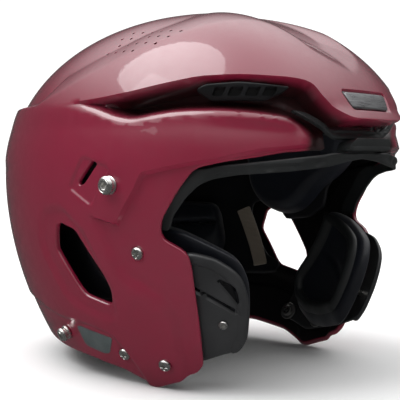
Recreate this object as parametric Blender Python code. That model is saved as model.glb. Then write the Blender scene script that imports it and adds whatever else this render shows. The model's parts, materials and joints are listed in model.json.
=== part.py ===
"""A gridiron helmet without its face guard, as an assembly of shells, pads, trim and hardware.

Frame: origin at the centre of the footprint, front towards -Y, +Z up, the wearer's left at +X.
The shells are wrapped round a smooth head-shaped envelope. A place on it is given by a bearing
(degrees from straight ahead, the same for left and right) and a height (millimetres above the head
centre). Lengths in this file are millimetres until MM turns them into Blender's metres.
"""

import math

import bpy
import numpy as np
from mathutils import Matrix, Vector

MM = 0.001

# Driving dimensions of the envelope, measured from the head centre.
HEAD_CENTRE = np.array([0.0, -14.16, 129.27])
HALF_WIDTH = 118.6
FRONT_REACH = 139.5
REAR_REACH = 164.0
CROWN_HEIGHT = 113.8
JAW_DEPTH = 192.0
FRONT_SQUARENESS = 2.6
REAR_SQUARENESS = 1.9
CROWN_SQUARENESS = 2.07
JAW_SQUARENESS = 1.84
MM_PER_DEGREE = 2.1

# Layers, from the outside in.
SHELL_WALL = 3.5
CORE_OUTER = -7.9
CORE_INNER = -17.6
LINER_SHELL_OUTER = -19.0
LINER_SHELL_WALL = 3.0
PAD_OUTER = -24.4
LABEL_OUTER = -23.2
JAW_PLATE_OUTER = -4.4
JAW_PLATE_WALL = 2.8
JAW_PAD_OUTER = -14.4
JAW_PAD_DEPTH = 10.2
JAW_PAD_EDGE = 5.0
JAW_RIM_OUTER = -25.7
JAW_RIM_DEPTH = 4.0
BUMPER_UNDER = -8.1
BUMPER_WALL = 3.2
BUMPER_SINK = 3.4
BROW_LIP_OUTER = 0.6
BROW_LIP_INNER = -13.0
BAND_OUTER = -4.6
BAND_DROP = 3.0
BAND_WALL = 3.4
NAMEPLATE_GAP = 1.7
NAMEPLATE_WALL = 1.2
LABEL_WALL = 1.1
CLEARANCE = 0.3

# Relief of the outer shell, as heights above the envelope.
CAP_RAISE = 5.0
CROWN_FALL = 18.0
SIDE_RAISE = 3.0
REAR_RAISE = 2.0
TEMPLE_TAPER = 9.0
BROW_FLARE = 3.0
CHANNEL_DEPTH = 12.0
CHANNEL_WALL = 1.6
CHANNEL_SLOPE = 10.0
PANEL_STEP = 3.2
BAND_WIDTH = 6.0
FRAME_DEPTH = 2.0
FRAME_CHAMFER = 4.0
SKIRT_DEPTH = 1.6
SKIRT_WALL = 4.0
PLATE_DEPTH = 1.2
REAR_LEDGE = 2.2

# Outlines on the envelope, as (bearing, height).
BROW_EDGE = [(-20, 35), (11.9, 35), (15.5, 33), (15.6, 20.5)]
OPENING_TOP = [(21.5, 19.8), (29.7, 18.5), (37.9, 14.9), (45.6, 12.1), (50.6, 9.4), (52.8, 7.4)]
OPENING_REAR = [(54.7, 1.8), (57.4, -7), (61.1, -21), (61.8, -28), (61, -33.3)]
JAW_FRONT = [(55.5, -39.5), (54, -43.5), (53.3, -50.4), (51.3, -87), (50.2, -112)]
JAW_BOTTOM = [(52.6, -117.4), (68.8, -127.6), (71.4, -127.4), (84.3, -119.8), (102.4, -115.6)]
NAPE_BOTTOM = [(128, -113.3), (150, -110), (200, -108), (200, 250), (-20, 250)]
SHELL_OUTLINE = BROW_EDGE + OPENING_TOP + OPENING_REAR + JAW_FRONT + JAW_BOTTOM + NAPE_BOTTOM

VENT_OUTLINE = [(102.8, -29), (100.3, -26.6), (93.3, -30.4), (82.2, -60), (80.9, -66.7), (81.6, -75.5),
                (83.4, -76.6), (93.6, -72.4), (96.2, -67.5), (104.6, -44)]
WING_EDGE = [(11.9, 35), (16, 39.7), (19.8, 48.9), (20.6, 53.9), (22.6, 56.9), (27.4, 58.3), (40.7, 59.5),
             (51.3, 58.6), (62.7, 54.4), (72.4, 50.8), (83.6, 48), (97.5, 46)]
TEMPLE_RIDGE = [(91, 43.4), (84.7, 41), (78, 37.4), (71.3, 35.4), (63, 38), (56.6, 39.4), (46, 39.4),
                (37.7, 37.9), (29, 35.5), (25, 31), (23.7, 27.9), (24.3, 22.5), (24.3, -10)]
CHANNEL_OUTLINE = [(-20, 35)] + WING_EDGE + TEMPLE_RIDGE + [(-20, -10)]
CROWN_LINE = [(-20, 52), (0, 65), (4, 67.4), (9.9, 73.1), (13.5, 77.6), (14.8, 82.6), (18.5, 91),
              (23.4, 95.4), (30, 96.5), (40, 95), (51.7, 91.1), (62.7, 84.9), (77.8, 76.6), (88.8, 67.4),
              (98.9, 60.1), (110.3, 51.5), (118.3, 47.1)]
CROWN_OUTLINE = CROWN_LINE + [(200, 47.1), (200, 250), (-20, 250)]
TEMPLE_EDGE = [(15, 24), (24.3, 22.6), (36.6, 19.7), (47.4, 13.6), (56.1, 10.4), (66.8, 5.3), (69.1, -4.6),
               (75.7, -24.6)]
BAND_LINE = [(84, -22), (81.4, -31), (78, -43.5), (73, -54.5), (64.5, -62.5), (60, -68), (58.2, -78),
             (57, -95), (56.2, -140)]
EAR_PANEL = TEMPLE_EDGE + BAND_LINE + [(20, -140), (20, 10)]
FRAME_OUTLINE = [(109.5, -18), (98, -14), (88.5, -28), (78.6, -66), (79.4, -84), (84, -87), (97, -81.5),
                 (104, -74), (113, -42)]
SKIRT_LINE = [(200, -82), (137, -82.5), (126, -85), (115, -88.8), (105.5, -89.6), (95.9, -90), (85.3, -94.4),
              (80.6, -102.8), (75.8, -115.5), (70, -140), (200, -140)]
STUD_PLATE = [(88.2, 15.7), (76.5, 8.6), (84.5, -15.5), (94, -4.5)]
NAMEPLATE = [(-20, 42.4), (9, 42.4), (11, 52.2), (-20, 52.2)]

# Hardware on the side of the shell: (bearing, height).
UPPER_STUD_AT = (76.7, -2.1)
LOWER_STUD_AT = (113.5, -101)
SIDE_SCREW_AT = (69.4, -42.5)
JAW_SCREWS_AT = {"rear": (81.3, -108.5), "front": (63.3, -111)}
SLOT_ENDS = [(88.3, -1.8), (83.4, 11.0)]
SLOT_HALF_WIDTH = 2.4
STUD_SHANK = 2.4
SCREW_SHANK = 2.0
SNAP_SHANK = 2.0
SNAP_REACH = 13.2
POST_RADIUS = 3.4
POST_REACH = 11.4
STUD_REACH = 9.5
CROSS_REACH = 2.3
CROSS_ARM = 0.4
NUT_SEAT = 4.8
JAW_NUT_UNDER = -8.0
HOLE_PLAY = 0.4

CELLS_PER_FACE = 12
SNAP_SHARE = 0.3


# ---------------------------------------------------------------- the envelope

def plan_radius(bearing):
    """Horizontal reach of the envelope at the head centre's height, at a bearing in degrees."""
    angle = np.radians(bearing)
    side = np.abs(np.sin(angle)) / HALF_WIDTH
    ahead = np.cos(angle)
    reach = np.where(ahead > 0, FRONT_REACH, REAR_REACH)
    power = np.where(ahead > 0, FRONT_SQUARENESS, REAR_SQUARENESS)
    return (side**power + (np.abs(ahead) / reach) ** power) ** (-1 / power)


def envelope_radius(directions):
    """Distance from the head centre to the envelope, for unit directions."""
    bearing = np.degrees(np.arctan2(np.abs(directions[:, 0]), -directions[:, 1]))
    level = np.hypot(directions[:, 0], directions[:, 1])
    rise = directions[:, 2]
    limit = np.where(rise > 0, CROWN_HEIGHT, JAW_DEPTH)
    power = np.where(rise > 0, CROWN_SQUARENESS, JAW_SQUARENESS)
    return ((level / plan_radius(bearing)) ** power + (np.abs(rise) / limit) ** power) ** (-1 / power)


def wrap(directions):
    """(bearing, height) of the envelope's point in each direction."""
    bearing = np.degrees(np.arctan2(np.abs(directions[:, 0]), -directions[:, 1]))
    return np.column_stack([bearing, envelope_radius(directions) * directions[:, 2]])


def unwrap(bearing, height, offset=0.0, side=1):
    """The point this far outside the envelope at a place; side is 1 for left and -1 for right."""
    limit = CROWN_HEIGHT if height > 0 else JAW_DEPTH
    power = CROWN_SQUARENESS if height > 0 else JAW_SQUARENESS
    share = max(0.0, 1 - (abs(height) / limit) ** power) ** (1 / power)
    reach = float(plan_radius(np.array(bearing))) * share
    angle = math.radians(bearing)
    point = np.array([side * reach * math.sin(angle), -reach * math.cos(angle), height])
    return HEAD_CENTRE + point * (1 + offset / np.linalg.norm(point))


def distance(line, places):
    """Distance in millimetres from each (bearing, height) to an open line."""
    scale = np.array([MM_PER_DEGREE, 1.0])
    points, corners = places * scale, np.array(line, float) * scale
    nearest = np.full(len(points), np.inf)
    for start, end in zip(corners, corners[1:]):
        along = end - start
        share = np.clip(((points - start) @ along) / (along @ along), 0, 1)
        nearest = np.minimum(nearest, np.linalg.norm(points - start - share[:, None] * along, axis=1))
    return nearest


def outside(outline, places):
    """Signed distance in millimetres from each (bearing, height) to a closed outline, negative inside it."""
    inside = np.zeros(len(places), bool)
    for start, end in zip(outline, outline[1:] + outline[:1]):
        if start[1] != end[1]:
            spans = (start[1] > places[:, 1]) != (end[1] > places[:, 1])
            crossing = start[0] + (places[:, 1] - start[1]) * (end[0] - start[0]) / (end[1] - start[1])
            inside ^= spans & (places[:, 0] < crossing)
    gap = distance(outline + outline[:1], places)
    return np.where(inside, -gap, gap)


def ramp(value, start, end):
    """0 at start, 1 at end, straight between and held outside."""
    return np.clip((value - start) / (end - start), 0, 1)


def shell_relief(directions, spread=0.0):
    """Height of the outer shell's face above the envelope. spread widens the channel, for the inner face."""
    places = wrap(directions)
    bearing, height = places[:, 0], places[:, 1]
    crown = outside(CROWN_OUTLINE, places)
    fall = CROWN_FALL + (REAR_LEDGE - CROWN_FALL) * ramp(bearing, 112, 122)
    cap = CAP_RAISE * (1 - np.clip(-crown / fall, 0, 1))
    side = SIDE_RAISE + REAR_RAISE * ramp(bearing, 120, 150) * ramp(height, 5, 14)
    side -= TEMPLE_TAPER * ramp(bearing, 52, 27)
    relief = cap + (side - CAP_RAISE) * ramp(height, 47, 30) * ramp(bearing, 14, 24)
    relief += BROW_FLARE * ramp(height, 43, 35) * ramp(bearing, 24, 14)
    relief -= PANEL_STEP * ramp(outside(EAR_PANEL, places), BAND_WIDTH / 2, -BAND_WIDTH / 2)
    relief -= FRAME_DEPTH * ramp(outside(FRAME_OUTLINE, places), 0, -FRAME_CHAMFER)
    relief -= SKIRT_DEPTH * ramp(outside(SKIRT_LINE, places), SKIRT_WALL / 2, -SKIRT_WALL / 2)
    relief -= PLATE_DEPTH * ramp(outside(STUD_PLATE, places), 0, -1.5)
    channel = outside(CHANNEL_OUTLINE, places) - spread
    wall = ramp(distance([(-20, 35)] + WING_EDGE, places) + spread, 0, CHANNEL_WALL)
    slope = ramp(distance(TEMPLE_RIDGE, places) + spread, 0, CHANNEL_SLOPE)
    depth = CHANNEL_DEPTH * ramp(bearing, 99, 74)
    return relief - (relief + depth) * np.minimum(wall, slope) * (channel < 0)


# ---------------------------------------------------------------- a sheet cut along design lines

class Sheet:
    """Polygons on the left half of the unit sphere. cut() follows a line, and mirror() adds the right half."""

    def __init__(self, cells):
        frames = [((0, 0, 1), (1, 0, 0)), ((0, 0, -1), (1, 0, 0)), ((0, -1, 0), (1, 0, 0)),
                  ((0, 1, 0), (1, 0, 0)), ((1, 0, 0), (0, 1, 0)), ((-1, 0, 0), (0, 1, 0))]
        steps = np.tan(np.radians(np.linspace(-45, 45, cells + 1)))
        index, points, faces = {}, [], []
        for normal, across in frames:
            normal, across = np.array(normal, float), np.array(across, float)
            up = np.cross(normal, across)
            number = np.empty((cells + 1, cells + 1), int)
            for i, a in enumerate(steps):
                for j, b in enumerate(steps):
                    point = normal + a * across + b * up
                    point /= np.linalg.norm(point)
                    key = tuple(np.round(point, 6) + 0.0)
                    number[i, j] = index.setdefault(key, len(points))
                    if number[i, j] == len(points):
                        points.append(point)
            for i in range(cells):
                for j in range(cells):
                    faces.append([number[i, j], number[i + 1, j], number[i + 1, j + 1], number[i, j + 1]])
        self.points = np.array(points)
        self.points[np.abs(self.points[:, 0]) < 1e-9, 0] = 0
        self.faces = faces
        self.fixed = np.zeros(len(points), bool)
        self.drop(lambda d: -d[:, 0])

    def cut(self, field):
        """Moves or adds points so that edges follow the line where field is zero."""
        value = field(self.points)
        mixed = [f for f in self.faces if value[f].min() < 0 < value[f].max()]
        whole = [f for f in self.faces if not value[f].min() < 0 < value[f].max()]
        mixed = [piece for f in mixed for piece in self.fan(f, value)]
        sides = {tuple(sorted(e)) for f in mixed for e in zip(f, f[1:] + f[:1])}
        edges = {(a, b) for a, b in sides if value[a] * value[b] < 0}
        if not edges:
            return
        edges = np.array(sorted(edges))
        first, second = self.points[edges[:, 0]], self.points[edges[:, 1]]
        low, high = value[edges[:, 0]], value[edges[:, 1]]
        share = low / (low - high)
        for _ in range(4):
            middle = first + share[:, None] * (second - first)
            found = field(middle / np.linalg.norm(middle, axis=1)[:, None])
            share = np.clip(share + found * np.where(low < high, -1, 1) / np.abs(high - low), 0.01, 0.99)
        crossing = first + share[:, None] * (second - first)
        crossing /= np.linalg.norm(crossing, axis=1)[:, None]
        nearest = {}
        for (a, b), s, point in zip(edges, share, crossing):
            end, other, gap = (a, b, s) if s < 0.5 else (b, a, 1 - s)
            leaves_seam = self.points[end, 0] == 0 and self.points[other, 0] != 0
            if gap < SNAP_SHARE and not (self.fixed[end] or leaves_seam) and gap < nearest.get(end, (1,))[0]:
                nearest[end] = (gap, point)
        for end, (_, point) in nearest.items():
            self.points[end] = point
            value[end] = 0
            self.fixed[end] = True
        added, extra = {}, []
        for (a, b), point in zip(edges, crossing):
            if value[a] * value[b] < 0:
                added[a, b] = len(self.points) + len(extra)
                extra.append(point)
        if extra:
            self.points = np.vstack([self.points, extra])
            self.fixed = np.append(self.fixed, np.ones(len(extra), bool))
            value = np.append(value, np.zeros(len(extra)))
        for f in mixed:
            whole += self.split(f, value, added) if value[f].min() < 0 < value[f].max() else [f]
        self.faces = whole

    def fan(self, face, value):
        """The face, or its triangles where a line would cross it more than twice."""
        signs = [np.sign(value[i]) for i in face if value[i] != 0]
        if sum(s != t for s, t in zip(signs, signs[1:] + signs[:1])) <= 2:
            return [face]
        return [[face[0], face[i], face[i + 1]] for i in range(1, len(face) - 1)]

    def split(self, face, value, added):
        """The pieces of one polygon on the two sides of the line."""
        loop = []
        for a, b in zip(face, face[1:] + face[:1]):
            loop.append(a)
            if (min(a, b), max(a, b)) in added and value[a] * value[b] < 0:
                loop.append(added[min(a, b), max(a, b)])
        signs = [np.sign(value[i]) for i in loop]
        turns = []
        for k, sign in enumerate(signs):
            ahead = next((s for s in signs[k + 1:] + signs[:k] if s), 0)
            if sign == 0 and signs[k - 1] * ahead < 0:
                turns.append(k)
        first, second = turns
        return [loop[first:second + 1], loop[second:] + loop[:first + 1]]

    def drop(self, field):
        """Removes the polygons whose middle has a positive field."""
        middles = np.array([self.points[f].mean(axis=0) for f in self.faces])
        gone = field(middles / np.linalg.norm(middles, axis=1)[:, None]) > 0
        self.faces = [f for f, g in zip(self.faces, gone) if not g]

    def mirror(self, keep=True):
        """Adds the right half, or turns the left half into it."""
        twins = np.arange(len(self.points)) if keep else None
        copies = self.points * [-1, 1, 1]
        if keep:
            off_seam = self.points[:, 0] != 0
            twins[off_seam] = len(self.points) + np.arange(off_seam.sum())
            copies = np.vstack([self.points, copies[off_seam]])
        turned_faces = [[f[0], *f[:0:-1]] for f in self.faces]
        if keep:
            turned_faces = self.faces + [[int(twins[i]) for i in f] for f in turned_faces]
        self.points, self.faces = copies, turned_faces

    def rim(self):
        """The directed edges that only one polygon has."""
        edges = {e for f in self.faces for e in zip(f, f[1:] + f[:1])}
        return [(a, b) for a, b in edges if (b, a) not in edges]

    def solid(self, name, outer, inner):
        """A closed wall between two offsets from the envelope, each a function of directions."""
        used = sorted({i for f in self.faces for i in f})
        number = {i: n for n, i in enumerate(used)}
        directions = self.points[used]
        reach = envelope_radius(directions)
        top = HEAD_CENTRE + directions * (reach + outer(directions))[:, None]
        bottom = HEAD_CENTRE + directions * (reach + inner(directions))[:, None]
        count = len(used)
        faces = [[number[i] for i in f] for f in self.faces]
        faces += [[number[i] + count for i in reversed(f)] for f in self.faces]
        faces += [[number[b], number[a], number[a] + count, number[b] + count] for a, b in self.rim()]
        return mesh_object(name, np.vstack([top, bottom]), faces)


# ---------------------------------------------------------------- objects and materials

def material(name, colour, roughness, metallic=0.0):
    made = bpy.data.materials.new(name)
    made.use_nodes = True
    shader = made.node_tree.nodes["Principled BSDF"]
    shader.inputs["Base Color"].default_value = (*colour, 1)
    shader.inputs["Roughness"].default_value = roughness
    shader.inputs["Metallic"].default_value = metallic
    made.diffuse_color = (*colour, 1)
    return made


def mesh_object(name, points, faces):
    """A named object from millimetre points and faces that run anticlockwise seen from outside."""
    mesh = bpy.data.meshes.new(name)
    mesh.from_pydata([tuple(p * MM) for p in np.asarray(points, float)], [], faces)
    made = bpy.data.objects.new(name, mesh)
    bpy.context.scene.collection.objects.link(made)
    return made


def finish(made, look, smooth_angle=35):
    made.data.materials.append(look)
    made.data.shade_smooth()
    made.data.set_sharp_from_angle(angle=math.radians(smooth_angle))
    return made


def seat(at, side=1, height=0.0):
    """A frame on the envelope: this far outside it, with Z straight out and X level along the surface."""
    bearing, rise = at
    ahead = unwrap(bearing + 0.5, rise, 0, side) - unwrap(bearing - 0.5, rise, 0, side)
    up = unwrap(bearing, rise + 0.5, 0, side) - unwrap(bearing, rise - 0.5, 0, side)
    point = unwrap(bearing, rise, 0, side)
    out = np.cross(ahead, up)
    out *= np.sign(out @ (point - HEAD_CENTRE)) / np.linalg.norm(out)
    ahead /= np.linalg.norm(ahead)
    frame = Matrix.Identity(4)
    for column, axis in enumerate((ahead, np.cross(out, ahead), out, point + height * out)):
        frame.col[column][:3] = axis
    return frame


def relief_at(at):
    """Height of the shell's outer face above the envelope at one place."""
    direction = unwrap(*at) - HEAD_CENTRE
    return float(shell_relief(direction[None] / np.linalg.norm(direction))[0])


def placed(name, points, faces, frame):
    return mesh_object(name, [frame @ Vector(p) for p in points], faces)


def turned(name, profile, frame, segments=16):
    """A body turned about the frame's Z from (radius, height) points. It is a ring if no end is on the axis."""
    points, rings = [], []
    for radius, height in profile:
        count = segments if radius else 1
        rings.append(range(len(points), len(points) + count))
        turns = [2 * math.pi * k / segments for k in range(count)]
        points += [(radius * math.cos(t), radius * math.sin(t), height) for t in turns]
    pairs = list(zip(rings, rings[1:])) + ([] if profile[0][0] == 0 else [(rings[-1], rings[0])])
    faces = []
    for upper, lower in pairs:
        for k in range(segments):
            loop = [lower[k % len(lower)], lower[(k + 1) % len(lower)], upper[(k + 1) % len(upper)],
                    upper[k % len(upper)]]
            faces.append(list(dict.fromkeys(loop)))
    return placed(name, points, faces, frame)


def circle(radius, count=16):
    return [(radius * math.cos(2 * math.pi * k / count), radius * math.sin(2 * math.pi * k / count))
            for k in range(count)]


def cut_prisms(target, name, prisms):
    """Cuts prisms, each a (frame, outline, bottom, top), out of the target with one hidden cutter."""
    points, faces = [], []
    for frame, outline, bottom, top in prisms:
        first, count = len(points), len(outline)
        points += [frame @ Vector((x, y, bottom)) for x, y in outline]
        points += [frame @ Vector((x, y, top)) for x, y in outline]
        faces.append([first + k for k in reversed(range(count))])
        faces.append([first + count + k for k in range(count)])
        for k in range(count):
            n = (k + 1) % count
            faces.append([first + k, first + n, first + count + n, first + count + k])
    cutter = mesh_object(name, points, faces)
    cutter.hide_render = True
    cutter.display_type = "WIRE"
    cutting = target.modifiers.new(name, "BOOLEAN")
    cutting.operation = "DIFFERENCE"
    cutting.solver = "EXACT"
    cutting.object = cutter


def patch(outline, cells, side=0, holes=(), inset=0.0, crease=0.0):
    """The part of a sheet this far inside an outline, on one side, and out of each (outline, margin) hole.
    crease adds edges this far inside the outline."""
    sheet = Sheet(cells)
    sheet.drop(lambda d: outside(outline, wrap(d)) - 400 / cells)
    for line, margin, sign in [(outline, -inset, 1), *((hole, margin, -1) for hole, margin in holes)]:
        sheet.cut(lambda d: sign * (outside(line, wrap(d)) - margin))
        sheet.drop(lambda d: sign * (outside(line, wrap(d)) - margin))
    if crease:
        sheet.cut(lambda d: outside(outline, wrap(d)) + crease)
    if side <= 0:
        sheet.mirror(keep=side == 0)
    return sheet


def level(height):
    """The same offset from the envelope everywhere."""
    return lambda directions: np.full(len(directions), float(height))


# ---------------------------------------------------------------- the pieces

SIDES = {"left": 1, "right": -1}

# Regions of the layers inside the shell.
LINER_SHELL = [(-20, 33), (20, 33), (36, 24), (50, 18), (60, 8), (66, -10), (67, -28), (74, -38), (87, -41),
               (92, -27.4), (100.5, -23.4), (105.5, -27), (106.2, -44), (98, -68.5), (95, -75), (87, -80),
               (88, -89), (96, -91), (110, -92), (150, -92), (200, -90), (200, 250), (-20, 250)]
SIDE_CORE = [(66, 28), (80, 32), (96, 40), (121, 55), (121, -26), (112, -14), (97, -8), (87, -19), (72, -20)]
CORE_REGIONS = {
    "core_crown": ([(-20, 72), (40, 72), (90, 62), (200, 62), (200, 250), (-20, 250)], 0, 6),
    "core_rear": ([(129, 56), (200, 56), (200, -88), (118, -88), (121, -58), (129, -46)], 0, 8),
    "core_left": (SIDE_CORE, 1, 10),
    "core_right": (SIDE_CORE, -1, 10),
}
TEMPLE_PAD = [(39, 34), (50, 14), (58, 0), (66, -10), (70, -22), (76, -34), (86, -38), (97, -31), (104, -14),
              (106, 4), (106, 34), (104, 58), (80, 70), (42, 70)]
NAPE_PAD = [(122, -30), (170, -26), (174, -36), (172, -84), (126, -84), (118, -72)]
PAD_REGIONS = {
    "pad_front": ([(-40, 40), (30, 37), (34, 44), (32, 68), (24, 76), (-40, 78)], 0, 15),
    "pad_crown": ([(-20, 88), (70, 92), (110, 90), (200, 84), (200, 250), (-20, 250)], 0, 16),
    "pad_rear": ([(138, 52), (200, 52), (200, -20), (146, -20), (136, -6), (134, 40)], 0, 26),
    "pad_temple_left": (TEMPLE_PAD, 1, 16),
    "pad_temple_right": (TEMPLE_PAD, -1, 16),
    "pad_nape_left": (NAPE_PAD, 1, 24),
    "pad_nape_right": (NAPE_PAD, -1, 24),
}
JAW_PLATE = [(53.4, -42.4), (47.4, -45.3), (42.2, -52.8), (39.9, -58.7), (38.3, -67.8), (37.2, -80.3),
             (36.9, -96.4), (38.4, -104.3), (50.1, -113.4), (68, -121.5), (84, -114), (82, -96), (70, -78),
             (64, -60), (60.5, -45)]
JAW_PAD = [(64, -30), (55.5, -34.5), (46.8, -43.5), (40.5, -51), (37.5, -62), (36.3, -74), (35.4, -92),
           (35.4, -108), (37.5, -115.5), (49, -122), (60, -122.5), (70, -114), (74, -98.5), (73, -88),
           (69, -74), (65.5, -56), (63.5, -40)]
JAW_CENTRE = (54, -76)
JAW_SNAPS = {"front": (44.5, -87), "rear": (62, -85)}
BUMPER = [(-20, 27), (11.5, 27), (13.4, 28.2), (15.9, 30.6), (19.6, 34.6), (22.9, 37.8), (26.2, 40.4),
          (27, 42.6), (25, 43.2), (22.2, 42), (18.2, 37.4), (14.4, 33.4), (12.8, 33), (11, 33.6), (-20, 33.6)]
BROW_LIP = [(-20, 19.2), (9.4, 19.2), (10.6, 20.6), (9.6, 24), (8, 26.2), (-20, 26.2)]
LINER_BAND = [(-20, 14.4), (1, 14.4), (8, 12.8), (16.3, 9.4), (28.6, 6.6), (42, 4.5), (48, 2), (51.5, -1.5),
              (54.8, -9), (58.6, -21), (59.6, -30), (65, -30), (64.5, -21), (58, 3), (54, 8), (50.6, 8.2),
              (45.6, 10.6), (36.6, 12.8), (26.4, 15.2), (17.6, 17.2), (14.8, 18.3), (-20, 18.3)]
GRILLE = [(49.6, 53), (48, 54.4), (40.5, 55.8), (28.8, 54.6), (34, 49.6), (48, 49.6)]
GRILLE_CELLS = [(31.4, 34.6), (36.4, 39.2), (41.0, 43.4), (45.2, 47.6)]
GRILLE_TOP = 57
GRILLE_FACE = 1.9
GRILLE_LEAN = 0.7
GRILLE_WALL = 2.6
DECAL = [(104.4, -94.2), (101.8, -93.6), (85.4, -98), (89.4, -109.3), (92.8, -110.2), (103.2, -107)]
LABEL = [(113.4, -36), (107, -30.5), (94, -84), (101.6, -87)]


def fastener_bores(side):
    """(place, radius) of each bore through the shell."""
    bores = [(UPPER_STUD_AT, STUD_SHANK), (LOWER_STUD_AT, STUD_SHANK), (SIDE_SCREW_AT, SCREW_SHANK)]
    return bores + [(at, SCREW_SHANK) for at in JAW_SCREWS_AT.values()]


def outer_shell(look):
    sheet = Sheet(CELLS_PER_FACE)
    field = lambda d: outside(SHELL_OUTLINE, wrap(d))
    sheet.drop(lambda d: field(d) - 40)
    lines = [(SHELL_OUTLINE, 0), (VENT_OUTLINE, 0), (CHANNEL_OUTLINE, 0), (CROWN_OUTLINE, 0),
             (CHANNEL_OUTLINE, -CHANNEL_WALL), (EAR_PANEL, BAND_WIDTH / 2), (EAR_PANEL, -BAND_WIDTH / 2),
             (FRAME_OUTLINE, 0), (FRAME_OUTLINE, -FRAME_CHAMFER), (SKIRT_LINE, SKIRT_WALL / 2),
             (SKIRT_LINE, -SKIRT_WALL / 2)]
    for line, shift in lines:
        sheet.cut(lambda d: outside(line, wrap(d)) - shift)
        if line is SHELL_OUTLINE:
            sheet.drop(field)
        if line is VENT_OUTLINE:
            sheet.drop(lambda d: -outside(line, wrap(d)))
    sheet.mirror()
    made = sheet.solid("outer_shell", shell_relief, lambda d: shell_relief(d, SHELL_WALL) - SHELL_WALL)
    prisms = []
    for side in SIDES.values():
        for at, radius in fastener_bores(side):
            prisms.append((seat(at, side), circle(radius + HOLE_PLAY), -12, 9))
        prisms.append(slot_prism(side))
    cut_prisms(made, "cutter_shell_bores", prisms)
    return finish(made, look, 25)


def slot_prism(side):
    """The slot beside the upper stud: a bar with round ends."""
    ends = [Vector(unwrap(*at, 0, side)) for at in SLOT_ENDS]
    frame = seat(tuple(np.mean(SLOT_ENDS, axis=0)), side)
    along = frame.to_3x3().transposed() @ (ends[1] - ends[0])
    reach, turn = along.length / 2, math.atan2(along.y, along.x)
    outline = []
    for k in range(16):
        angle = math.pi * (k - 3.5) / 8
        shift = reach if k < 8 else -reach
        x, y = shift + SLOT_HALF_WIDTH * math.cos(angle), SLOT_HALF_WIDTH * math.sin(angle)
        outline.append((x * math.cos(turn) - y * math.sin(turn), x * math.sin(turn) + y * math.cos(turn)))
    return frame, outline, -12, 9


def liner_shell(look):
    sheet = patch(LINER_SHELL, 10)
    made = sheet.solid("arch_shell", level(LINER_SHELL_OUTER), level(LINER_SHELL_OUTER - LINER_SHELL_WALL))
    return finish(made, look)


def core(name, outline, side, cells, look):
    """A sheet of columns: a web under the shell with a tapered post standing inwards from each cell."""
    holes = []
    if side:
        holes = [([UPPER_STUD_AT, (UPPER_STUD_AT[0] + 0.01, UPPER_STUD_AT[1])], 9)]
    sheet = patch(outline, cells, side, holes)
    points, faces = [], []
    web = {}

    def corner(index, height):
        if (index, height) not in web:
            direction = sheet.points[index]
            reach = envelope_radius(direction[None])[0] + height
            web[index, height] = len(points)
            points.append(HEAD_CENTRE + direction * reach)
        return web[index, height]

    for face in sheet.faces:
        faces.append([corner(i, CORE_OUTER) for i in face])
        middle = sheet.points[face].mean(axis=0)
        spread = np.linalg.norm(sheet.points[face] - middle, axis=1).min()
        ring = [corner(i, CORE_OUTER - 1.6) for i in face]
        if spread < 0.055:
            faces.append(ring[::-1])
            continue
        loops = [ring]
        for share, height in ((0.62, CORE_OUTER - 1.6), (0.48, CORE_INNER)):
            loops.append([])
            for i in face:
                direction = middle + share * (sheet.points[i] - middle)
                direction /= np.linalg.norm(direction)
                loops[-1].append(len(points))
                points.append(HEAD_CENTRE + direction * (envelope_radius(direction[None])[0] + height))
        for wide, narrow in zip(loops, loops[1:]):
            for k in range(len(face)):
                n = (k + 1) % len(face)
                faces.append([wide[n], wide[k], narrow[k], narrow[n]])
        faces.append(loops[-1][::-1])
    for a, b in sheet.rim():
        faces.append([corner(b, CORE_OUTER), corner(a, CORE_OUTER), corner(a, CORE_OUTER - 1.6),
                      corner(b, CORE_OUTER - 1.6)])
    return finish(mesh_object(name, points, faces), look)


def pad(name, outline, side, thickness, look, cells=8, inset=7.0):
    """A cushion on the liner shell: thin at its edge and full inside the inset line."""
    sheet = patch(outline, cells, side, crease=inset)
    edge = lambda d: outside(outline, wrap(d))
    inner = lambda d: PAD_OUTER - 6 - (thickness - 6) * ramp(-edge(d), 0, inset)
    return finish(sheet.solid(name, level(PAD_OUTER), inner), look, 50)


def stud(name, at, side, rise, radius, shank, look):
    """A chin-strap stud: flange, waist and domed head with a hex socket, on a shank through the shell."""
    base = relief_at(at) + 0.5
    waist, flange = radius * 0.72, radius * 0.95
    profile = [(0, rise), (radius * 0.62, rise), (radius * 0.88, rise - 0.8), (radius, rise - 1.9),
               (radius * 0.97, rise - 2.4), (waist, rise - 2.9), (waist, 1.0), (flange, 0.8), (flange, 0),
               (shank, 0), (shank, -STUD_REACH), (0, -STUD_REACH)]
    frame = seat(at, side, base)
    made = turned(name, profile, frame)
    cut_prisms(made, "cutter_" + name, [(frame, circle(radius * 0.36, 6), rise - 1.8, rise + 3)])
    return finish(made, look)


def screw(name, at, side, reach, look):
    """A low domed screw with a cross recess."""
    frame = seat(at, side, relief_at(at) + 0.7)
    profile = [(0, 1.9), (2.7, 1.9), (3.5, 1.2), (4.0, 0.5), (4.0, 0), (SCREW_SHANK, 0),
               (SCREW_SHANK, -reach), (0, -reach)]
    made = turned(name, profile, frame, 12)
    quarter = [(CROSS_REACH, -CROSS_ARM), (CROSS_REACH, CROSS_ARM), (CROSS_ARM, CROSS_ARM)]
    cross = []
    for _ in range(4):
        cross += quarter
        quarter = [(-y, x) for x, y in quarter]
    cut_prisms(made, "cutter_" + name, [(frame, cross, 0.9, 3)])
    return finish(made, look)


def tee_nut(name, at, side, under, shank, look):
    """A flanged nut round a shank, this far under the envelope."""
    bore = shank + CLEARANCE
    profile = [(bore, 0), (6.5, 0), (6.5, -1.2), (bore + 1.6, -1.2), (bore + 1.6, -3.6), (bore, -3.6)]
    return finish(turned(name, profile, seat(at, side, under), 12), look)


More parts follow.
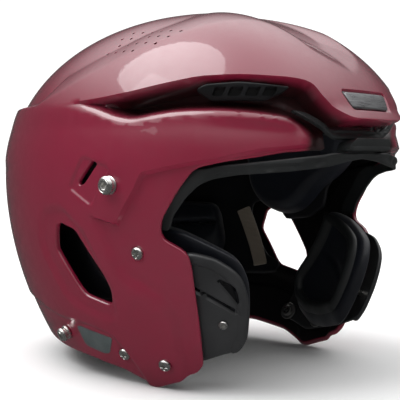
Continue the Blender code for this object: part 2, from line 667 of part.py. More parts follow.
def jaw_group(name, side, looks):
    """The backing plate with its snap and post, and the cushion with its rim that pulls off them."""
    axis = seat(JAW_CENTRE, side)
    sheet = patch(JAW_PLATE, 12, side)
    plate = sheet.solid("jaw_plate_" + name, level(JAW_PLATE_OUTER), level(JAW_PLATE_OUTER - JAW_PLATE_WALL))
    finish(plate, looks["dark"])
    lie = {}
    for key, at in JAW_SNAPS.items():
        lie[key] = axis.copy()
        lie[key].translation = Vector(unwrap(*at, JAW_PLATE_OUTER, side))
    bores = [(seat(at, side), circle(SCREW_SHANK + HOLE_PLAY), -12, 2) for at in JAW_SCREWS_AT.values()]
    bores += [(lie["front"], circle(SNAP_SHANK + HOLE_PLAY), -9, 8)]
    cut_prisms(plate, "cutter_jaw_plate_" + name, bores)
    snap = [(0, 1.6), (1.8, 1.5), (2.75, 0.9), (2.75, 0.5), (SNAP_SHANK, 0.5), (SNAP_SHANK, -8.0),
            (POST_RADIUS, -8.4), (POST_RADIUS, 1 - SNAP_REACH), (POST_RADIUS - 1, -SNAP_REACH),
            (0, -SNAP_REACH)]
    finish(turned("jaw_snap_front_" + name, snap, lie["front"], 12), looks["steel"])
    post = [(0, -3.6), (POST_RADIUS, -3.6), (POST_RADIUS, 1 - POST_REACH), (POST_RADIUS - 1, -POST_REACH),
            (0, -POST_REACH)]
    finish(turned("jaw_snap_rear_" + name, post, lie["rear"], 12), looks["steel"])
    sheet = patch(JAW_PAD, 12, side, crease=JAW_PAD_EDGE)
    edge = lambda d: outside(JAW_PAD, wrap(d))
    rise = lambda d: JAW_PAD_EDGE * ramp(edge(d), 0, -JAW_PAD_EDGE)
    face = JAW_PAD_OUTER - JAW_PAD_DEPTH + JAW_PAD_EDGE
    cushion = sheet.solid("jaw_pad_" + name, level(JAW_PAD_OUTER), lambda d: face - rise(d))
    sockets = [(frame, circle(POST_RADIUS + 1), -SNAP_REACH - 2, 6) for frame in lie.values()]
    cut_prisms(cushion, "cutter_jaw_pad_" + name, sockets)
    finish(cushion, looks["foam"], 50)
    ring = patch(JAW_PAD, 26, side, [(JAW_PAD, -10)], 3)
    rim = ring.solid("jaw_rim_" + name, level(JAW_RIM_OUTER), level(JAW_RIM_OUTER - JAW_RIM_DEPTH))
    finish(rim, looks["trim"], 50)
    origin = Vector(unwrap(*JAW_CENTRE, JAW_PAD_OUTER, side)) * MM
    for moving in (cushion, rim):
        moving.data.transform(Matrix.Translation(-origin))
        moving.location = origin


def trim_and_badges(looks):
    """The dark pieces under the brow, the liner's edge band, the badge and the stickers."""
    def under(d):
        bearing = wrap(d)[:, 0]
        rise = np.maximum(0, shell_relief(d) + CHANNEL_DEPTH) * ramp(bearing, 15, 18)
        return BUMPER_UNDER + rise - BUMPER_SINK * ramp(bearing, 19, 13)

    bumper = patch(BUMPER, 64).solid("brow_insert", lambda d: under(d) + BUMPER_WALL, under)
    finish(bumper, looks["trim"])
    lip = patch(BROW_LIP, 60).solid("brow_lip", level(BROW_LIP_OUTER), level(BROW_LIP_INNER))
    finish(lip, looks["trim"])
    face = lambda d: BAND_OUTER - BAND_DROP * ramp(wrap(d)[:, 0], 52, 38)
    band = patch(LINER_BAND, 80).solid("liner_edge_band", face, lambda d: face(d) - BAND_WALL)
    finish(band, looks["trim"])
    back = CAP_RAISE + NAMEPLATE_GAP
    plate = patch(NAMEPLATE, 14).solid("nameplate", level(back + NAMEPLATE_WALL), level(back))
    finish(plate, looks["nameplate"])
    for name, side in SIDES.items():
        cells = []
        for low, high in GRILLE_CELLS:
            cells.append(([(low, 51.6), (high, 51.6), (high - 0.7, 53.8), (low - 0.7, 53.8)], 0))
        grille = patch(GRILLE, 90, side, cells)
        face = lambda d: GRILLE_FACE - GRILLE_LEAN * (GRILLE_TOP - wrap(d)[:, 1])
        finish(grille.solid("vent_grille_" + name, face, lambda d: face(d) - GRILLE_WALL), looks["trim"])
        sticker = patch(DECAL, 16, side)
        made = sticker.solid("decal_" + name, lambda d: shell_relief(d) + 3 * CLEARANCE,
                             lambda d: shell_relief(d) + CLEARANCE)
        finish(made, looks["decal"])
    label = patch(LABEL, 16, 1)
    finish(label.solid("inner_label", level(LABEL_OUTER), level(LABEL_OUTER - LABEL_WALL)), looks["label"])


def main():
    for old in list(bpy.data.objects):
        bpy.data.objects.remove(old, do_unlink=True)
    looks = {
        "shell": material("shell_paint", (0.11, 0.008, 0.018), 0.12),
        "liner": material("liner_plastic", (0.03, 0.03, 0.032), 0.45),
        "core": material("core_columns", (0.02, 0.02, 0.022), 0.7),
        "foam": material("pad_cover", (0.012, 0.012, 0.013), 0.8),
        "dark": material("dark_plastic", (0.025, 0.026, 0.028), 0.4),
        "trim": material("grey_trim", (0.055, 0.062, 0.062), 0.5),
        "steel": material("stud_steel", (0.75, 0.75, 0.74), 0.22, 1.0),
        "nut": material("nut_steel", (0.4, 0.4, 0.4), 0.4, 1.0),
        "nameplate": material("nameplate_gloss", (0.13, 0.012, 0.022), 0.2),
        "decal": material("decal_vinyl", (0.06, 0.075, 0.075), 0.5),
        "label": material("woven_label", (0.10, 0.075, 0.05), 0.9),
    }
    outer_shell(looks["shell"])
    liner_shell(looks["liner"])
    for name, (outline, side, cells) in CORE_REGIONS.items():
        core(name, outline, side, cells, looks["core"])
    for name, (outline, side, thickness) in PAD_REGIONS.items():
        pad(name, outline, side, thickness, looks["foam"])
    for name, side in SIDES.items():
        stud("upper_stud_" + name, UPPER_STUD_AT, side, 5.0, 5.75, STUD_SHANK, looks["steel"])
        stud("lower_stud_" + name, LOWER_STUD_AT, side, 6.0, 4.9, STUD_SHANK, looks["steel"])
        screw("side_screw_" + name, SIDE_SCREW_AT, side, 9.0, looks["steel"])
        for key, at, shank in (("upper", UPPER_STUD_AT, STUD_SHANK), ("lower", LOWER_STUD_AT, STUD_SHANK),
                               ("side", SIDE_SCREW_AT, SCREW_SHANK)):
            tee_nut(f"{key}_nut_{name}", at, side, relief_at(at) - NUT_SEAT, shank, looks["nut"])
        for key, at in JAW_SCREWS_AT.items():
            screw(f"jaw_screw_{key}_{name}", at, side, relief_at(at) + 12.5, looks["steel"])
            tee_nut(f"jaw_nut_{key}_{name}", at, side, JAW_NUT_UNDER, SCREW_SHANK, looks["nut"])
        jaw_group(name, side, looks)
    trim_and_badges(looks)


main()
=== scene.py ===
"""The looks of the helmet: fine shells, pads, trim, hardware, materials, light and camera for the frame.

Every surface is wrapped round the head-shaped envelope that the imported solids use. A place on it is a bearing
(degrees from straight ahead, the same for left and right) and a height (millimetres above the head centre).
Lengths are millimetres until MM turns them into metres.
"""

import itertools
import json
import math

import bpy
import numpy as np
from mathutils import Matrix, Vector

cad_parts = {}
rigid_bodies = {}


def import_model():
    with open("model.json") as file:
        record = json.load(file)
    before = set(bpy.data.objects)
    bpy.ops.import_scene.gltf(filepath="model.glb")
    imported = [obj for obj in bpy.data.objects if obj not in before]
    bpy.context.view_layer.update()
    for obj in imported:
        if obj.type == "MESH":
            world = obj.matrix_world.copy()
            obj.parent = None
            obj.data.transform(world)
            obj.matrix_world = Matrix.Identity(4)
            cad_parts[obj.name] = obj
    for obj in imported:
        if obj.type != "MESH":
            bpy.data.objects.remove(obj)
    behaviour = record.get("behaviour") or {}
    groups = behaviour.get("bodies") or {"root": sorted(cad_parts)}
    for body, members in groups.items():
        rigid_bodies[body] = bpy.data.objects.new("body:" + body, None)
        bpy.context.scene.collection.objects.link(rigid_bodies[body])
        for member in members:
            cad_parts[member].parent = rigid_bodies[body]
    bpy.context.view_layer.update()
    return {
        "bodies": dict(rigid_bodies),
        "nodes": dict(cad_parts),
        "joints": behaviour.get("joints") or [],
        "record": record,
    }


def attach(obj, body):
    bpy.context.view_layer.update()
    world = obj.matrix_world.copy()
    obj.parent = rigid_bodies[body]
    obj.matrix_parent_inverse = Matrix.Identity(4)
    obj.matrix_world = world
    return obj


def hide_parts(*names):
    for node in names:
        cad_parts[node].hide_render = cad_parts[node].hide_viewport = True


MM = 0.001

# The envelope, as the frame has it.
HEAD_CENTRE = np.array([0.0, -14.16, 129.27])
HALF_WIDTH = 118.6
FRONT_REACH = 139.5
REAR_REACH = 164.0
CROWN_HEIGHT = 113.8
JAW_DEPTH = 192.0
FRONT_SQUARENESS = 2.6
REAR_SQUARENESS = 1.9
CROWN_SQUARENESS = 2.07
JAW_SQUARENESS = 1.84
MM_PER_DEGREE = 2.1

# Layers, as distances outside the envelope.
SHELL_WALL = 3.5
LINER_OUTER = -19.0
LINER_WALL = 3.0
LINER_ROLL = 1.2
PAD_OUTER = -24.4
LABEL_OUTER = -23.2
JAW_PAD_OUTER = -14.4
JAW_PAD_DEPTH = 10.2
JAW_RIM_OUTER = -25.7
SNAP_REACH = 13.2
SNAP_BASE = -4.4

# Relief of the outer shell.
CAP_RAISE = 5.0
CROWN_FALL = 18.0
SIDE_RAISE = 3.0
REAR_RAISE = 0.9
REAR_LEDGE = 2.2
TEMPLE_TAPER = 9.0
BROW_FLARE = 3.0
CHANNEL_DEPTH = 12.0
CHANNEL_WALL = 1.5
CHANNEL_SLOPE = 10.0
TEMPLE_STEP = 3.2
TEMPLE_WALL = 1.4
BAND_WIDTH = 6.0
CORNER_STEP = 1.3
POCKET_DEPTH = 1.8
EDGE_ROUND = 1.1

# Where the relief changes from none to all, as bearings or heights.
LEDGE_BEARINGS = (112, 122)
REAR_BEARINGS, REAR_HEIGHTS = (120, 150), (5, 14)
TAPER_BEARINGS = (52, 27)
SIDE_BEARINGS, SIDE_HEIGHTS = (14, 24), (47, 30)
FLARE_BEARINGS, FLARE_HEIGHTS = (24, 14), (43, 35)
CHANNEL_BEARINGS = (100, 70)
# The painted shade down the side channel fades in between these bearings; it darkens the colour and leaves the
# relief alone.
CHANNEL_SHADE_BEARINGS = (100, 72)

# Outlines on the envelope, as (bearing, height).
BROW_EDGE = [(-20, 35), (11.9, 35), (15.5, 33), (15.6, 20.5)]
OPENING_TOP = [(21.5, 19.8), (29.7, 18.5), (37.9, 14.9), (45.6, 12.1), (50.6, 9.4), (52.8, 7.4)]
OPENING_REAR = [(54.7, 1.8), (57.4, -7), (61.1, -21), (61.8, -28), (61, -33.3)]
JAW_FRONT = [(55.5, -39.5), (54, -43.5), (53.3, -50.4), (51.3, -87), (50.2, -112)]
JAW_BOTTOM = [(52.6, -117.4), (68.8, -127.6), (71.4, -127.4), (84.3, -119.8), (102.4, -115.6)]
NAPE_BOTTOM = [(128, -113.3), (150, -110), (200, -108), (200, 250), (-20, 250)]
SHELL_OUTLINE = BROW_EDGE + OPENING_TOP + OPENING_REAR + JAW_FRONT + JAW_BOTTOM + NAPE_BOTTOM
VENT_OUTLINE = [(102.8, -29), (100.3, -26.6), (93.3, -30.4), (82.2, -60), (80.9, -66.7), (81.6, -75.5),
                (83.4, -76.6), (93.6, -72.4), (96.2, -67.5), (104.6, -44)]
WING_EDGE = [(11.9, 35), (16, 39.7), (19.8, 48.9), (20.6, 53.9), (22.6, 56.9), (27.4, 58.3), (40.7, 59.5),
             (51.3, 58.6), (62.7, 54.4), (72.4, 50.8), (83.6, 48), (97.5, 46)]
TEMPLE_RIDGE = [(91, 43.4), (84.7, 41), (78, 37.4), (71.3, 35.4), (63, 38), (56.6, 39.4), (46, 39.4),
                (37.7, 37.9), (29, 35.5), (25, 31), (23.7, 27.9), (24.3, 22.5), (24.3, -10)]
CROWN_LINE = [(-20, 52), (0, 65), (4, 67.4), (9.9, 73.1), (13.5, 77.6), (14.8, 82.6), (18.5, 91), (23.4, 95.4),
              (30, 96.5), (40, 95), (51.7, 91.1), (62.7, 84.9), (77.8, 76.6), (88.8, 67.4), (98.9, 60.1),
              (110.3, 51.5), (118.3, 47.1)]
CROWN_OUTLINE = CROWN_LINE + [(200, 47.1), (200, 250), (-20, 250)]
TEMPLE_EDGE = [(15, 24), (24.3, 22.6), (36.6, 19.7), (47.4, 13.6), (56.1, 10.4), (66.8, 5.3), (69.1, -4.6),
               (75.7, -24.6)]
BAND_REAR = [(85.6, -22), (83, -32), (79.8, -45), (76, -59), (66.3, -68.8), (61.6, -75), (59.8, -85),
             (58.6, -101), (58, -140)]
CORNER_LINE = [(75.7, -24.6), (84.3, -20.8), (90.3, -16.6), (97, -11)]
FRAME_OUTLINE = [(109.5, -18), (98, -14), (88.5, -28), (78.6, -66), (79.4, -84), (84, -87), (97, -81.5),
                 (104, -74), (113, -42)]
SKIRT_LINE = [(200, -82), (137, -82.5), (126, -85), (115, -88.8), (105.5, -89.6), (95.9, -90), (85.3, -94.4),
              (80.6, -102.8), (75.8, -115.5), (70, -140), (200, -140)]
STUD_PLATE = [(88.2, 15.7), (76.5, 8.6), (84.5, -15.5), (94, -4.5)]
SLOT_OUTLINE = [(89.4, -2.8), (87.4, -1.3), (82.2, 10.6), (84.4, 12.4), (89.9, -0.4)]
NAMEPLATE = [(-20, 42.4), (9, 42.4), (11, 52.2), (-20, 52.2)]

# Hardware: (bearing, height).
UPPER_STUD_AT = (76.7, -2.1)
LOWER_STUD_AT = (113.5, -101)
SIDE_SCREW_AT = (69.4, -42.5)
JAW_SCREWS_AT = {"rear": (81.3, -108.5), "front": (63.3, -111)}
SIDES = {"left": 1, "right": -1}

SHELL_CELLS = 80


# ---- the envelope

def plan_radius(bearing):
    """Horizontal reach of the envelope at the head centre's height, at a bearing in degrees."""
    angle = np.radians(bearing)
    side = np.abs(np.sin(angle)) / HALF_WIDTH
    ahead = np.cos(angle)
    reach = np.where(ahead > 0, FRONT_REACH, REAR_REACH)
    power = np.where(ahead > 0, FRONT_SQUARENESS, REAR_SQUARENESS)
    return (side**power + (np.abs(ahead) / reach) ** power) ** (-1 / power)


def unit(vectors):
    """The vectors at length 1."""
    return vectors / np.linalg.norm(vectors, axis=-1, keepdims=True)


def bearing_of(directions):
    """Degrees from straight ahead, to either side."""
    return np.degrees(np.arctan2(np.abs(directions[:, 0]), -directions[:, 1]))


def envelope_radius(directions):
    """Distance from the head centre to the envelope, for unit directions."""
    level = np.hypot(directions[:, 0], directions[:, 1])
    rise = directions[:, 2]
    limit = np.where(rise > 0, CROWN_HEIGHT, JAW_DEPTH)
    power = np.where(rise > 0, CROWN_SQUARENESS, JAW_SQUARENESS)
    reach = plan_radius(bearing_of(directions))
    return ((level / reach) ** power + (np.abs(rise) / limit) ** power) ** (-1 / power)


def wrap(directions):
    """(bearing, height) of the envelope's point in each direction."""
    return np.column_stack([bearing_of(directions), envelope_radius(directions) * directions[:, 2]])


def unwrap(bearing, height, offset=0.0, side=1):
    """The point this far outside the envelope at a bearing and height; side is 1 (left) or -1 (right)."""
    limit = CROWN_HEIGHT if height > 0 else JAW_DEPTH
    power = CROWN_SQUARENESS if height > 0 else JAW_SQUARENESS
    share = max(0.0, 1 - (abs(height) / limit) ** power) ** (1 / power)
    reach = float(plan_radius(np.array(bearing))) * share
    angle = math.radians(bearing)
    point = np.array([side * reach * math.sin(angle), -reach * math.cos(angle), height])
    return HEAD_CENTRE + point * (1 + offset / np.linalg.norm(point))


def distance(line, places):
    """Distance in millimetres from each (bearing, height) to an open line."""
    scale = np.array([MM_PER_DEGREE, 1.0])
    points, corners = places * scale, np.array(line, float) * scale
    nearest = np.full(len(points), np.inf)
    for start, end in zip(corners, corners[1:]):
        along = end - start
        share = np.clip(((points - start) @ along) / (along @ along), 0, 1)
        nearest = np.minimum(nearest, np.linalg.norm(points - start - share[:, None] * along, axis=1))
    return nearest


def outside(outline, places):
    """Signed distance in millimetres from each (bearing, height) to a closed outline, negative inside it."""
    inside = np.zeros(len(places), bool)
    for start, end in zip(outline, outline[1:] + outline[:1]):
        if start[1] != end[1]:
            spans = (start[1] > places[:, 1]) != (end[1] > places[:, 1])
            crossing = start[0] + (places[:, 1] - start[1]) * (end[0] - start[0]) / (end[1] - start[1])
            inside ^= spans & (places[:, 0] < crossing)
    gap = distance(outline + outline[:1], places)
    return np.where(inside, -gap, gap)


def ramp(value, start, end):
    """0 at start, 1 at end, straight between and held outside."""
    return np.clip((value - start) / (end - start), 0, 1)


def smooth(share):
    """An even S-curve from 0 to 1."""
    share = np.clip(share, 0, 1)
    return share * share * (3 - 2 * share)


def soft_ramp(value, start, end, soft):
    """A ramp whose two corners are rounded over this distance each way."""

    def area(at):
        inside = np.clip(at - start, 0, end - start)
        return inside**2 / (2 * (end - start)) + np.maximum(at - end, 0)

    return (area(value + soft) - area(value - soft)) / (2 * soft)


def rounded(line, radius, closed=True, steps=3):
    """The line with each corner replaced by a short curve that starts this many millimetres from it."""
    scale = np.array([MM_PER_DEGREE, 1.0])
    points = np.array(line, float) * scale
    made = []
    for k, corner in enumerate(points):
        if not closed and k in (0, len(points) - 1):
            made.append(corner)
            continue
        ends = []
        for other in (points[k - 1], points[(k + 1) % len(points)]):
            reach = np.linalg.norm(other - corner)
            ends.append(corner + (other - corner) * min(radius / reach, 0.48))
        for share in np.linspace(0, 1, steps + 1):
            made.append((1 - share)**2 * ends[0] + 2 * share * (1 - share) * corner + share**2 * ends[1])
    return [tuple(p / scale) for p in made]


def dome(value, width):
    """0 at an edge, 1 from this width inwards, along a quarter of an ellipse."""
    return np.sqrt(1 - (1 - np.clip(value / width, 0, 1)) ** 2)


# ---- sheets

def edges_of(face):
    """The face's edges, as pairs of point numbers."""
    return zip(face, face[1:] + face[:1])


class Sheet:
    """Polygons on the left half of the unit sphere. cut() follows a line, and mirror() adds the right half."""

    FRAMES = [((0, 0, 1), (1, 0, 0)), ((0, 0, -1), (1, 0, 0)), ((0, -1, 0), (1, 0, 0)),
              ((0, 1, 0), (1, 0, 0)), ((1, 0, 0), (0, 1, 0))]
    SNAP_SHARE = 0.3
    ROOT_STEPS = 4
    NEAR_CELLS = 400

    def __init__(self, cells, field):
        """A grid of square cells, as far as the cells around the place where field is negative."""
        steps = np.tan(np.radians(np.linspace(-45, 45, cells + 1)))
        first, second = np.meshgrid(steps, steps, indexing="ij")
        number = np.arange(first.size).reshape(first.shape)
        cell = np.stack([number[:-1, :-1], number[1:, :-1], number[1:, 1:], number[:-1, 1:]], axis=-1)
        points, quads = [], []
        for count, (normal, across) in enumerate(self.FRAMES):
            grid = np.array(normal, float) + first[..., None] * np.array(across, float)
            grid = grid + second[..., None] * np.cross(normal, across)
            points.append(unit(grid).reshape(-1, 3))
            quads.append(cell.reshape(-1, 4) + count * first.size)
        points, quads = np.vstack(points), np.vstack(quads)
        keys = np.round(points * 1e5).astype(int)
        _, firsts, places = np.unique(keys, axis=0, return_index=True, return_inverse=True)
        self.points = points[firsts]
        self.points[np.abs(self.points[:, 0]) < 1e-9, 0] = 0
        quads = places.reshape(-1)[quads]
        quads = quads[self.points[quads].mean(axis=1)[:, 0] > 0]
        quads = quads[field(self.points)[quads].min(axis=1) < self.NEAR_CELLS / cells]
        self.faces = quads.tolist()
        self.fixed = np.zeros(len(self.points), bool)
        self.tidy()

    def corners(self):
        """The corners of every polygon, one after another."""
        return np.fromiter(itertools.chain.from_iterable(self.faces), int)

    def tidy(self):
        """Forgets the points that no polygon uses."""
        used = np.unique(self.corners())
        number = np.zeros(len(self.points), int)
        number[used] = np.arange(len(used))
        number = number.tolist()
        self.points, self.fixed = self.points[used], self.fixed[used]
        self.faces = [[number[i] for i in f] for f in self.faces]

    def spans(self, value):
        """The least and the greatest value on each polygon."""
        flat = value[self.corners()]
        starts = np.cumsum([0] + [len(f) for f in self.faces[:-1]])
        return np.minimum.reduceat(flat, starts), np.maximum.reduceat(flat, starts)

    def cut(self, field):
        """Moves or adds points so that edges follow the line where field is zero."""
        value = field(self.points)
        least, most = self.spans(value)
        crossed = (least < 0) & (most > 0)
        if not crossed.any():
            return
        whole = [f for f, c in zip(self.faces, crossed) if not c]
        mixed = [piece for f, c in zip(self.faces, crossed) if c for piece in self.fan(f, value)]
        edges = {tuple(sorted(e)) for f in mixed for e in edges_of(f) if value[e[0]] * value[e[1]] < 0}
        edges = np.array(sorted(edges))
        first, second = self.points[edges[:, 0]], self.points[edges[:, 1]]
        low, high = value[edges[:, 0]], value[edges[:, 1]]
        share = low / (low - high)
        for _ in range(self.ROOT_STEPS):
            middle = first + share[:, None] * (second - first)
            found = field(unit(middle))
            share = np.clip(share + found * np.where(low < high, -1, 1) / np.abs(high - low), 0.01, 0.99)
        crossing = unit(first + share[:, None] * (second - first))
        nearest = {}
        for (a, b), s, point in zip(edges.tolist(), share.tolist(), crossing):
            end, other, gap = (a, b, s) if s < 0.5 else (b, a, 1 - s)
            leaves_seam = self.points[end, 0] == 0 and self.points[other, 0] != 0
            held = self.fixed[end] or leaves_seam
            if gap < self.SNAP_SHARE and not held and gap < nearest.get(end, (1,))[0]:
                nearest[end] = (gap, point)
        for end, (_, point) in nearest.items():
            self.points[end] = point
            value[end] = 0
            self.fixed[end] = True
        added, extra = {}, []
        for (a, b), point in zip(edges.tolist(), crossing):
            if value[a] * value[b] < 0:
                added[a, b] = len(self.points) + len(extra)
                extra.append(point)
        if extra:
            self.points = np.vstack([self.points, extra])
            self.fixed = np.append(self.fixed, np.ones(len(extra), bool))
            value = np.append(value, np.zeros(len(extra)))
        for f in mixed:
            whole += self.split(f, value, added) if value[f].min() < 0 < value[f].max() else [f]
        self.faces = whole

    @staticmethod
    def fan(face, value):
        """The face, or its triangles where a line would cross it more than twice."""
        signs = [np.sign(value[i]) for i in face if value[i] != 0]
        if sum(s != t for s, t in zip(signs, signs[1:] + signs[:1])) <= 2:
            return [face]
        return [[face[0], face[i], face[i + 1]] for i in range(1, len(face) - 1)]

    @staticmethod
    def split(face, value, added):
        """The pieces of one polygon on the two sides of the line."""
        loop = []
        for a, b in edges_of(face):
            loop.append(a)
            if (min(a, b), max(a, b)) in added and value[a] * value[b] < 0:
                loop.append(added[min(a, b), max(a, b)])
        signs = [np.sign(value[i]) for i in loop]
        turns = []
        for k, sign in enumerate(signs):
            ahead = next((s for s in signs[k + 1:] + signs[:k] if s), 0)
            if sign == 0 and signs[k - 1] * ahead < 0:
                turns.append(k)
        first, second = turns
        return [loop[first:second + 1], loop[second:] + loop[:first + 1]]

    def refine(self, field):
        """Splits the four-sided cells with a negative field into quarters."""
        least, _ = self.spans(field(self.points))
        chosen = [len(f) == 4 and low < 0 for f, low in zip(self.faces, least)]
        middles, extra, faces = {}, [], []

        def add(indices):
            extra.append(unit(self.points[list(indices)].sum(axis=0)))
            return len(self.points) + len(extra) - 1

        for f, c in zip(self.faces, chosen):
            if c:
                for e in edges_of(f):
                    key = tuple(sorted(e))
                    if key not in middles:
                        middles[key] = add(key)
        for f, c in zip(self.faces, chosen):
            halves = [middles.get(tuple(sorted(e))) for e in edges_of(f)]
            if c:
                centre = add(f)
                faces += [[f[k], halves[k], centre, halves[k - 1]] for k in range(4)]
            else:
                faces.append([i for pair in zip(f, halves) for i in pair if i is not None])
        self.points = np.vstack([self.points, extra])
        self.fixed = np.append(self.fixed, np.zeros(len(extra), bool))
        self.faces = faces

    def middles(self):
        """The direction of each polygon's middle."""
        return unit(np.array([self.points[f].mean(axis=0) for f in self.faces]))

    def trim(self, field):
        """Cuts along the line where field is zero and removes the side where it is positive."""
        self.cut(field)
        self.faces = [f for f, gone in zip(self.faces, field(self.middles()) > 0) if not gone]

    def mirror(self, keep=True):
        """Adds the right half, or turns the left half into it."""
        copies = self.points * [-1, 1, 1]
        turned_faces = [[f[0], *f[:0:-1]] for f in self.faces]
        if keep:
            off_seam = self.points[:, 0] != 0
            twins = np.arange(len(self.points))
            twins[off_seam] = len(self.points) + np.arange(off_seam.sum())
            twins = twins.tolist()
            copies = np.vstack([self.points, copies[off_seam]])
            turned_faces = self.faces + [[twins[i] for i in f] for f in turned_faces]
        self.points, self.faces = copies, turned_faces
        self.fixed = np.zeros(len(copies), bool)

    def rim(self):
        """The directed edges that only one polygon has."""
        edges = {e for f in self.faces for e in edges_of(f)}
        return [(a, b) for a, b in edges if (b, a) not in edges]

    def solid(self, name, outer, inner, look, sharp=32):
        """A closed wall between two offsets from the envelope, each a function of directions."""
        self.tidy()
        reach = envelope_radius(self.points)
        top = HEAD_CENTRE + self.points * (reach + outer(self.points))[:, None]
        bottom = HEAD_CENTRE + self.points * (reach + inner(self.points))[:, None]
        count = len(self.points)
        faces = self.faces + [[i + count for i in reversed(f)] for f in self.faces]
        faces += [[b, a, a + count, b + count] for a, b in self.rim()]
        return mesh_object(name, np.vstack([top, bottom]), faces, look, sharp)


def beyond(outline, sign=1):
    """The signed distance to an outline, as a function of directions; sign -1 makes it positive inside."""
    return lambda directions: sign * outside(outline, wrap(directions))


def worn(outline, width):
    """How much an edge is rounded away: 1 at the outline and 0 from this width inside it."""
    return lambda directions: 1 - dome(-outside(outline, wrap(directions)), width)


def stitch(line, width, places):
    """1 on a line, fading out over this width on both sides of it."""
    return np.exp(-(distance(line, places) / width) ** 2)


def cut_at(sheet, outline, *levels):
    """Edges along the lines this far outside an outline."""
    for away in levels:
        sheet.cut(lambda d: outside(outline, wrap(d)) - away)


def cut_ramp(sheet, outline, start, end, soft):
    """Edges along both ends of each rounded corner of a ramp that runs inwards from an outline."""
    cut_at(sheet, outline, -start + soft, -start - soft, -end + soft, -end - soft)


def patch(outline, cells, side=0, creases=()):
    """The sheet inside an outline, on one side or both, with edges this far inside it for each crease."""
    sheet = Sheet(cells, beyond(outline))
    sheet.trim(beyond(outline))
    cut_at(sheet, outline, *(-crease for crease in creases))
    if side <= 0:
        sheet.mirror(keep=side == 0)
    return sheet


def placed(name, data, place=(0, 0, 0), aim=None):
    """An object in the scene, with its -Z along aim."""
    made = bpy.data.objects.new(name, data)
    made.location = place
    if aim is not None:
        made.rotation_mode = "QUATERNION"
        made.rotation_quaternion = Vector(aim).to_track_quat("-Z", "Y")
    bpy.context.scene.collection.objects.link(made)
    return made


def mesh_object(name, points, faces, look, sharp=32):
    """A smooth mesh from points in millimetres, with a crease wherever it turns by more than sharp degrees."""
    mesh = bpy.data.meshes.new(name)
    mesh.from_pydata((np.asarray(points, float) * MM).tolist(), [], faces)
    mesh.materials.append(look)
    mesh.shade_smooth()
    mesh.set_sharp_from_angle(angle=math.radians(sharp))
    return placed(name, mesh)


def second_look(made, look, chosen, start=0):
    """Gives the chosen polygons another material, where chosen covers the polygons from this number on."""
    slots = np.zeros(len(made.data.polygons), np.int32)
    slots[start:start + len(chosen)] = chosen
    made.data.materials.append(look)
    made.data.polygons.foreach_set("material_index", slots)


def level(height):
    """A field with the same value everywhere."""
    return lambda directions: np.full(len(directions), float(height))


# ---- the outer shell

WING_SIDE = rounded([(-20, 35)] + WING_EDGE + [(112, 43), (130, 30), (130, -60), (-20, -60)], 5)
RIDGE_SIDE = rounded([(130, 60), (112, 50), (97.5, 46)] + TEMPLE_RIDGE
                     + [(-40, -10), (-40, 160), (130, 160)], 6)
BELOW_TEMPLE = TEMPLE_EDGE + CORNER_LINE[1:] + [(130, -11), (130, -150), (15, -150)]
BEFORE_BAND = rounded([(90, 12)] + BAND_REAR + [(10, -140), (10, 80), (90, 80)], 7)
TEMPLE_CORNER = (75.7, -24.6)
CORNER_FADE = 26.0
SHELL_EDGE = rounded(SHELL_OUTLINE, 2.5)
VENT_EDGE = rounded(VENT_OUTLINE, 2.5)
SLOT_EDGE = rounded(SLOT_OUTLINE, 1.6)
CREST = rounded(CROWN_OUTLINE, 7)
POCKET_EDGE = rounded(NAMEPLATE, 1.5)
POCKET_MARGIN = 1.3
CREST_SOFT = 0.9
WALL_SOFT = 0.7
SLOPE_SOFT = 2.5
STEP_SOFT = 0.45
BAND_SOFT = 1.3
POCKET_WALL = 1.0
POCKET_SOFT = 0.3
SINK_RADIUS = 5.2
SINK_DEPTH = 0.7
SINK_SOFT = 0.4
HOLE_RADIUS = 1.05
HOLE_PITCH = 9.4
HOLES_FRONT = -4.5
HOLES_SIDE = 86.3
HOLE_ROW_PITCH = 6.55
HOLES_TURN = 0.12
HOLE_ROWS = [4, 5, 6, 6]
# How quickly the painted shade in the side channel reaches its darkest down the channel's walls.
CHANNEL_SHADE_GAIN = 1.6
HOLE_CELLS = (3.5, 2.2)
HOLE_LIP = 0.6
SLOT_MARGIN = 2
EDGE_SHARES = (0.12, 0.45, 1)


# The frame of the ear vent, the lower skirt and the stud's flat: the outline, the depth, where the wall starts
# and ends inside the outline, and how far each corner of the wall is rounded.
RECESSES = [(rounded(FRAME_OUTLINE, 8), 2.0, 0, 4.0, 0.9), (rounded(SKIRT_LINE, 8), 1.6, -1.2, 1.2, 0.6),
            (rounded(STUD_PLATE, 3), 1.2, 0, 1.6, 0.5)]


def hole_centres():
    """The vent holes on the left half, from the head centre: four rows beside the crest."""
    centres = []
    for row, count in enumerate(HOLE_ROWS):
        for k in range(count):
            y = HOLES_FRONT - HOLE_PITCH * (k + 0.5 * (row % 2))
            x = HOLES_SIDE - HOLE_ROW_PITCH * row - HOLES_TURN * (y + 14)
            ahead = y - HEAD_CENTRE[1]
            reach = float(plan_radius(np.array(math.degrees(math.atan2(x, -ahead)))))
            share = math.hypot(x, ahead) / reach
            centres.append((x, ahead, CROWN_HEIGHT * (1 - share**CROWN_SQUARENESS) ** (1 / CROWN_SQUARENESS)))
    return np.array(centres)


def near_points(centres, directions):
    """Distance in millimetres from each direction's envelope point to the nearest of some points."""
    points = np.abs(directions) * [1, 0, 0] + directions * [0, 1, 1]
    points = points * envelope_radius(directions)[:, None]
    nearest = np.full(len(points), np.inf)
    for centre in centres:
        nearest = np.minimum(nearest, np.linalg.norm(points - centre, axis=1))
    return nearest


HOLES = hole_centres()
SINKS = np.array([unwrap(*at) - HEAD_CENTRE for at in (SIDE_SCREW_AT, *JAW_SCREWS_AT.values())])


def channel_share(places, spread=0.0):
    """How far down the side channel each place is: 0 on the faces beside it and 1 on its floor."""
    wall = soft_ramp(-outside(WING_SIDE, places) + spread, 0, CHANNEL_WALL, WALL_SOFT)
    slope = soft_ramp(-outside(RIDGE_SIDE, places) + spread, 0, CHANNEL_SLOPE, SLOPE_SOFT)
    return np.minimum(wall, slope)


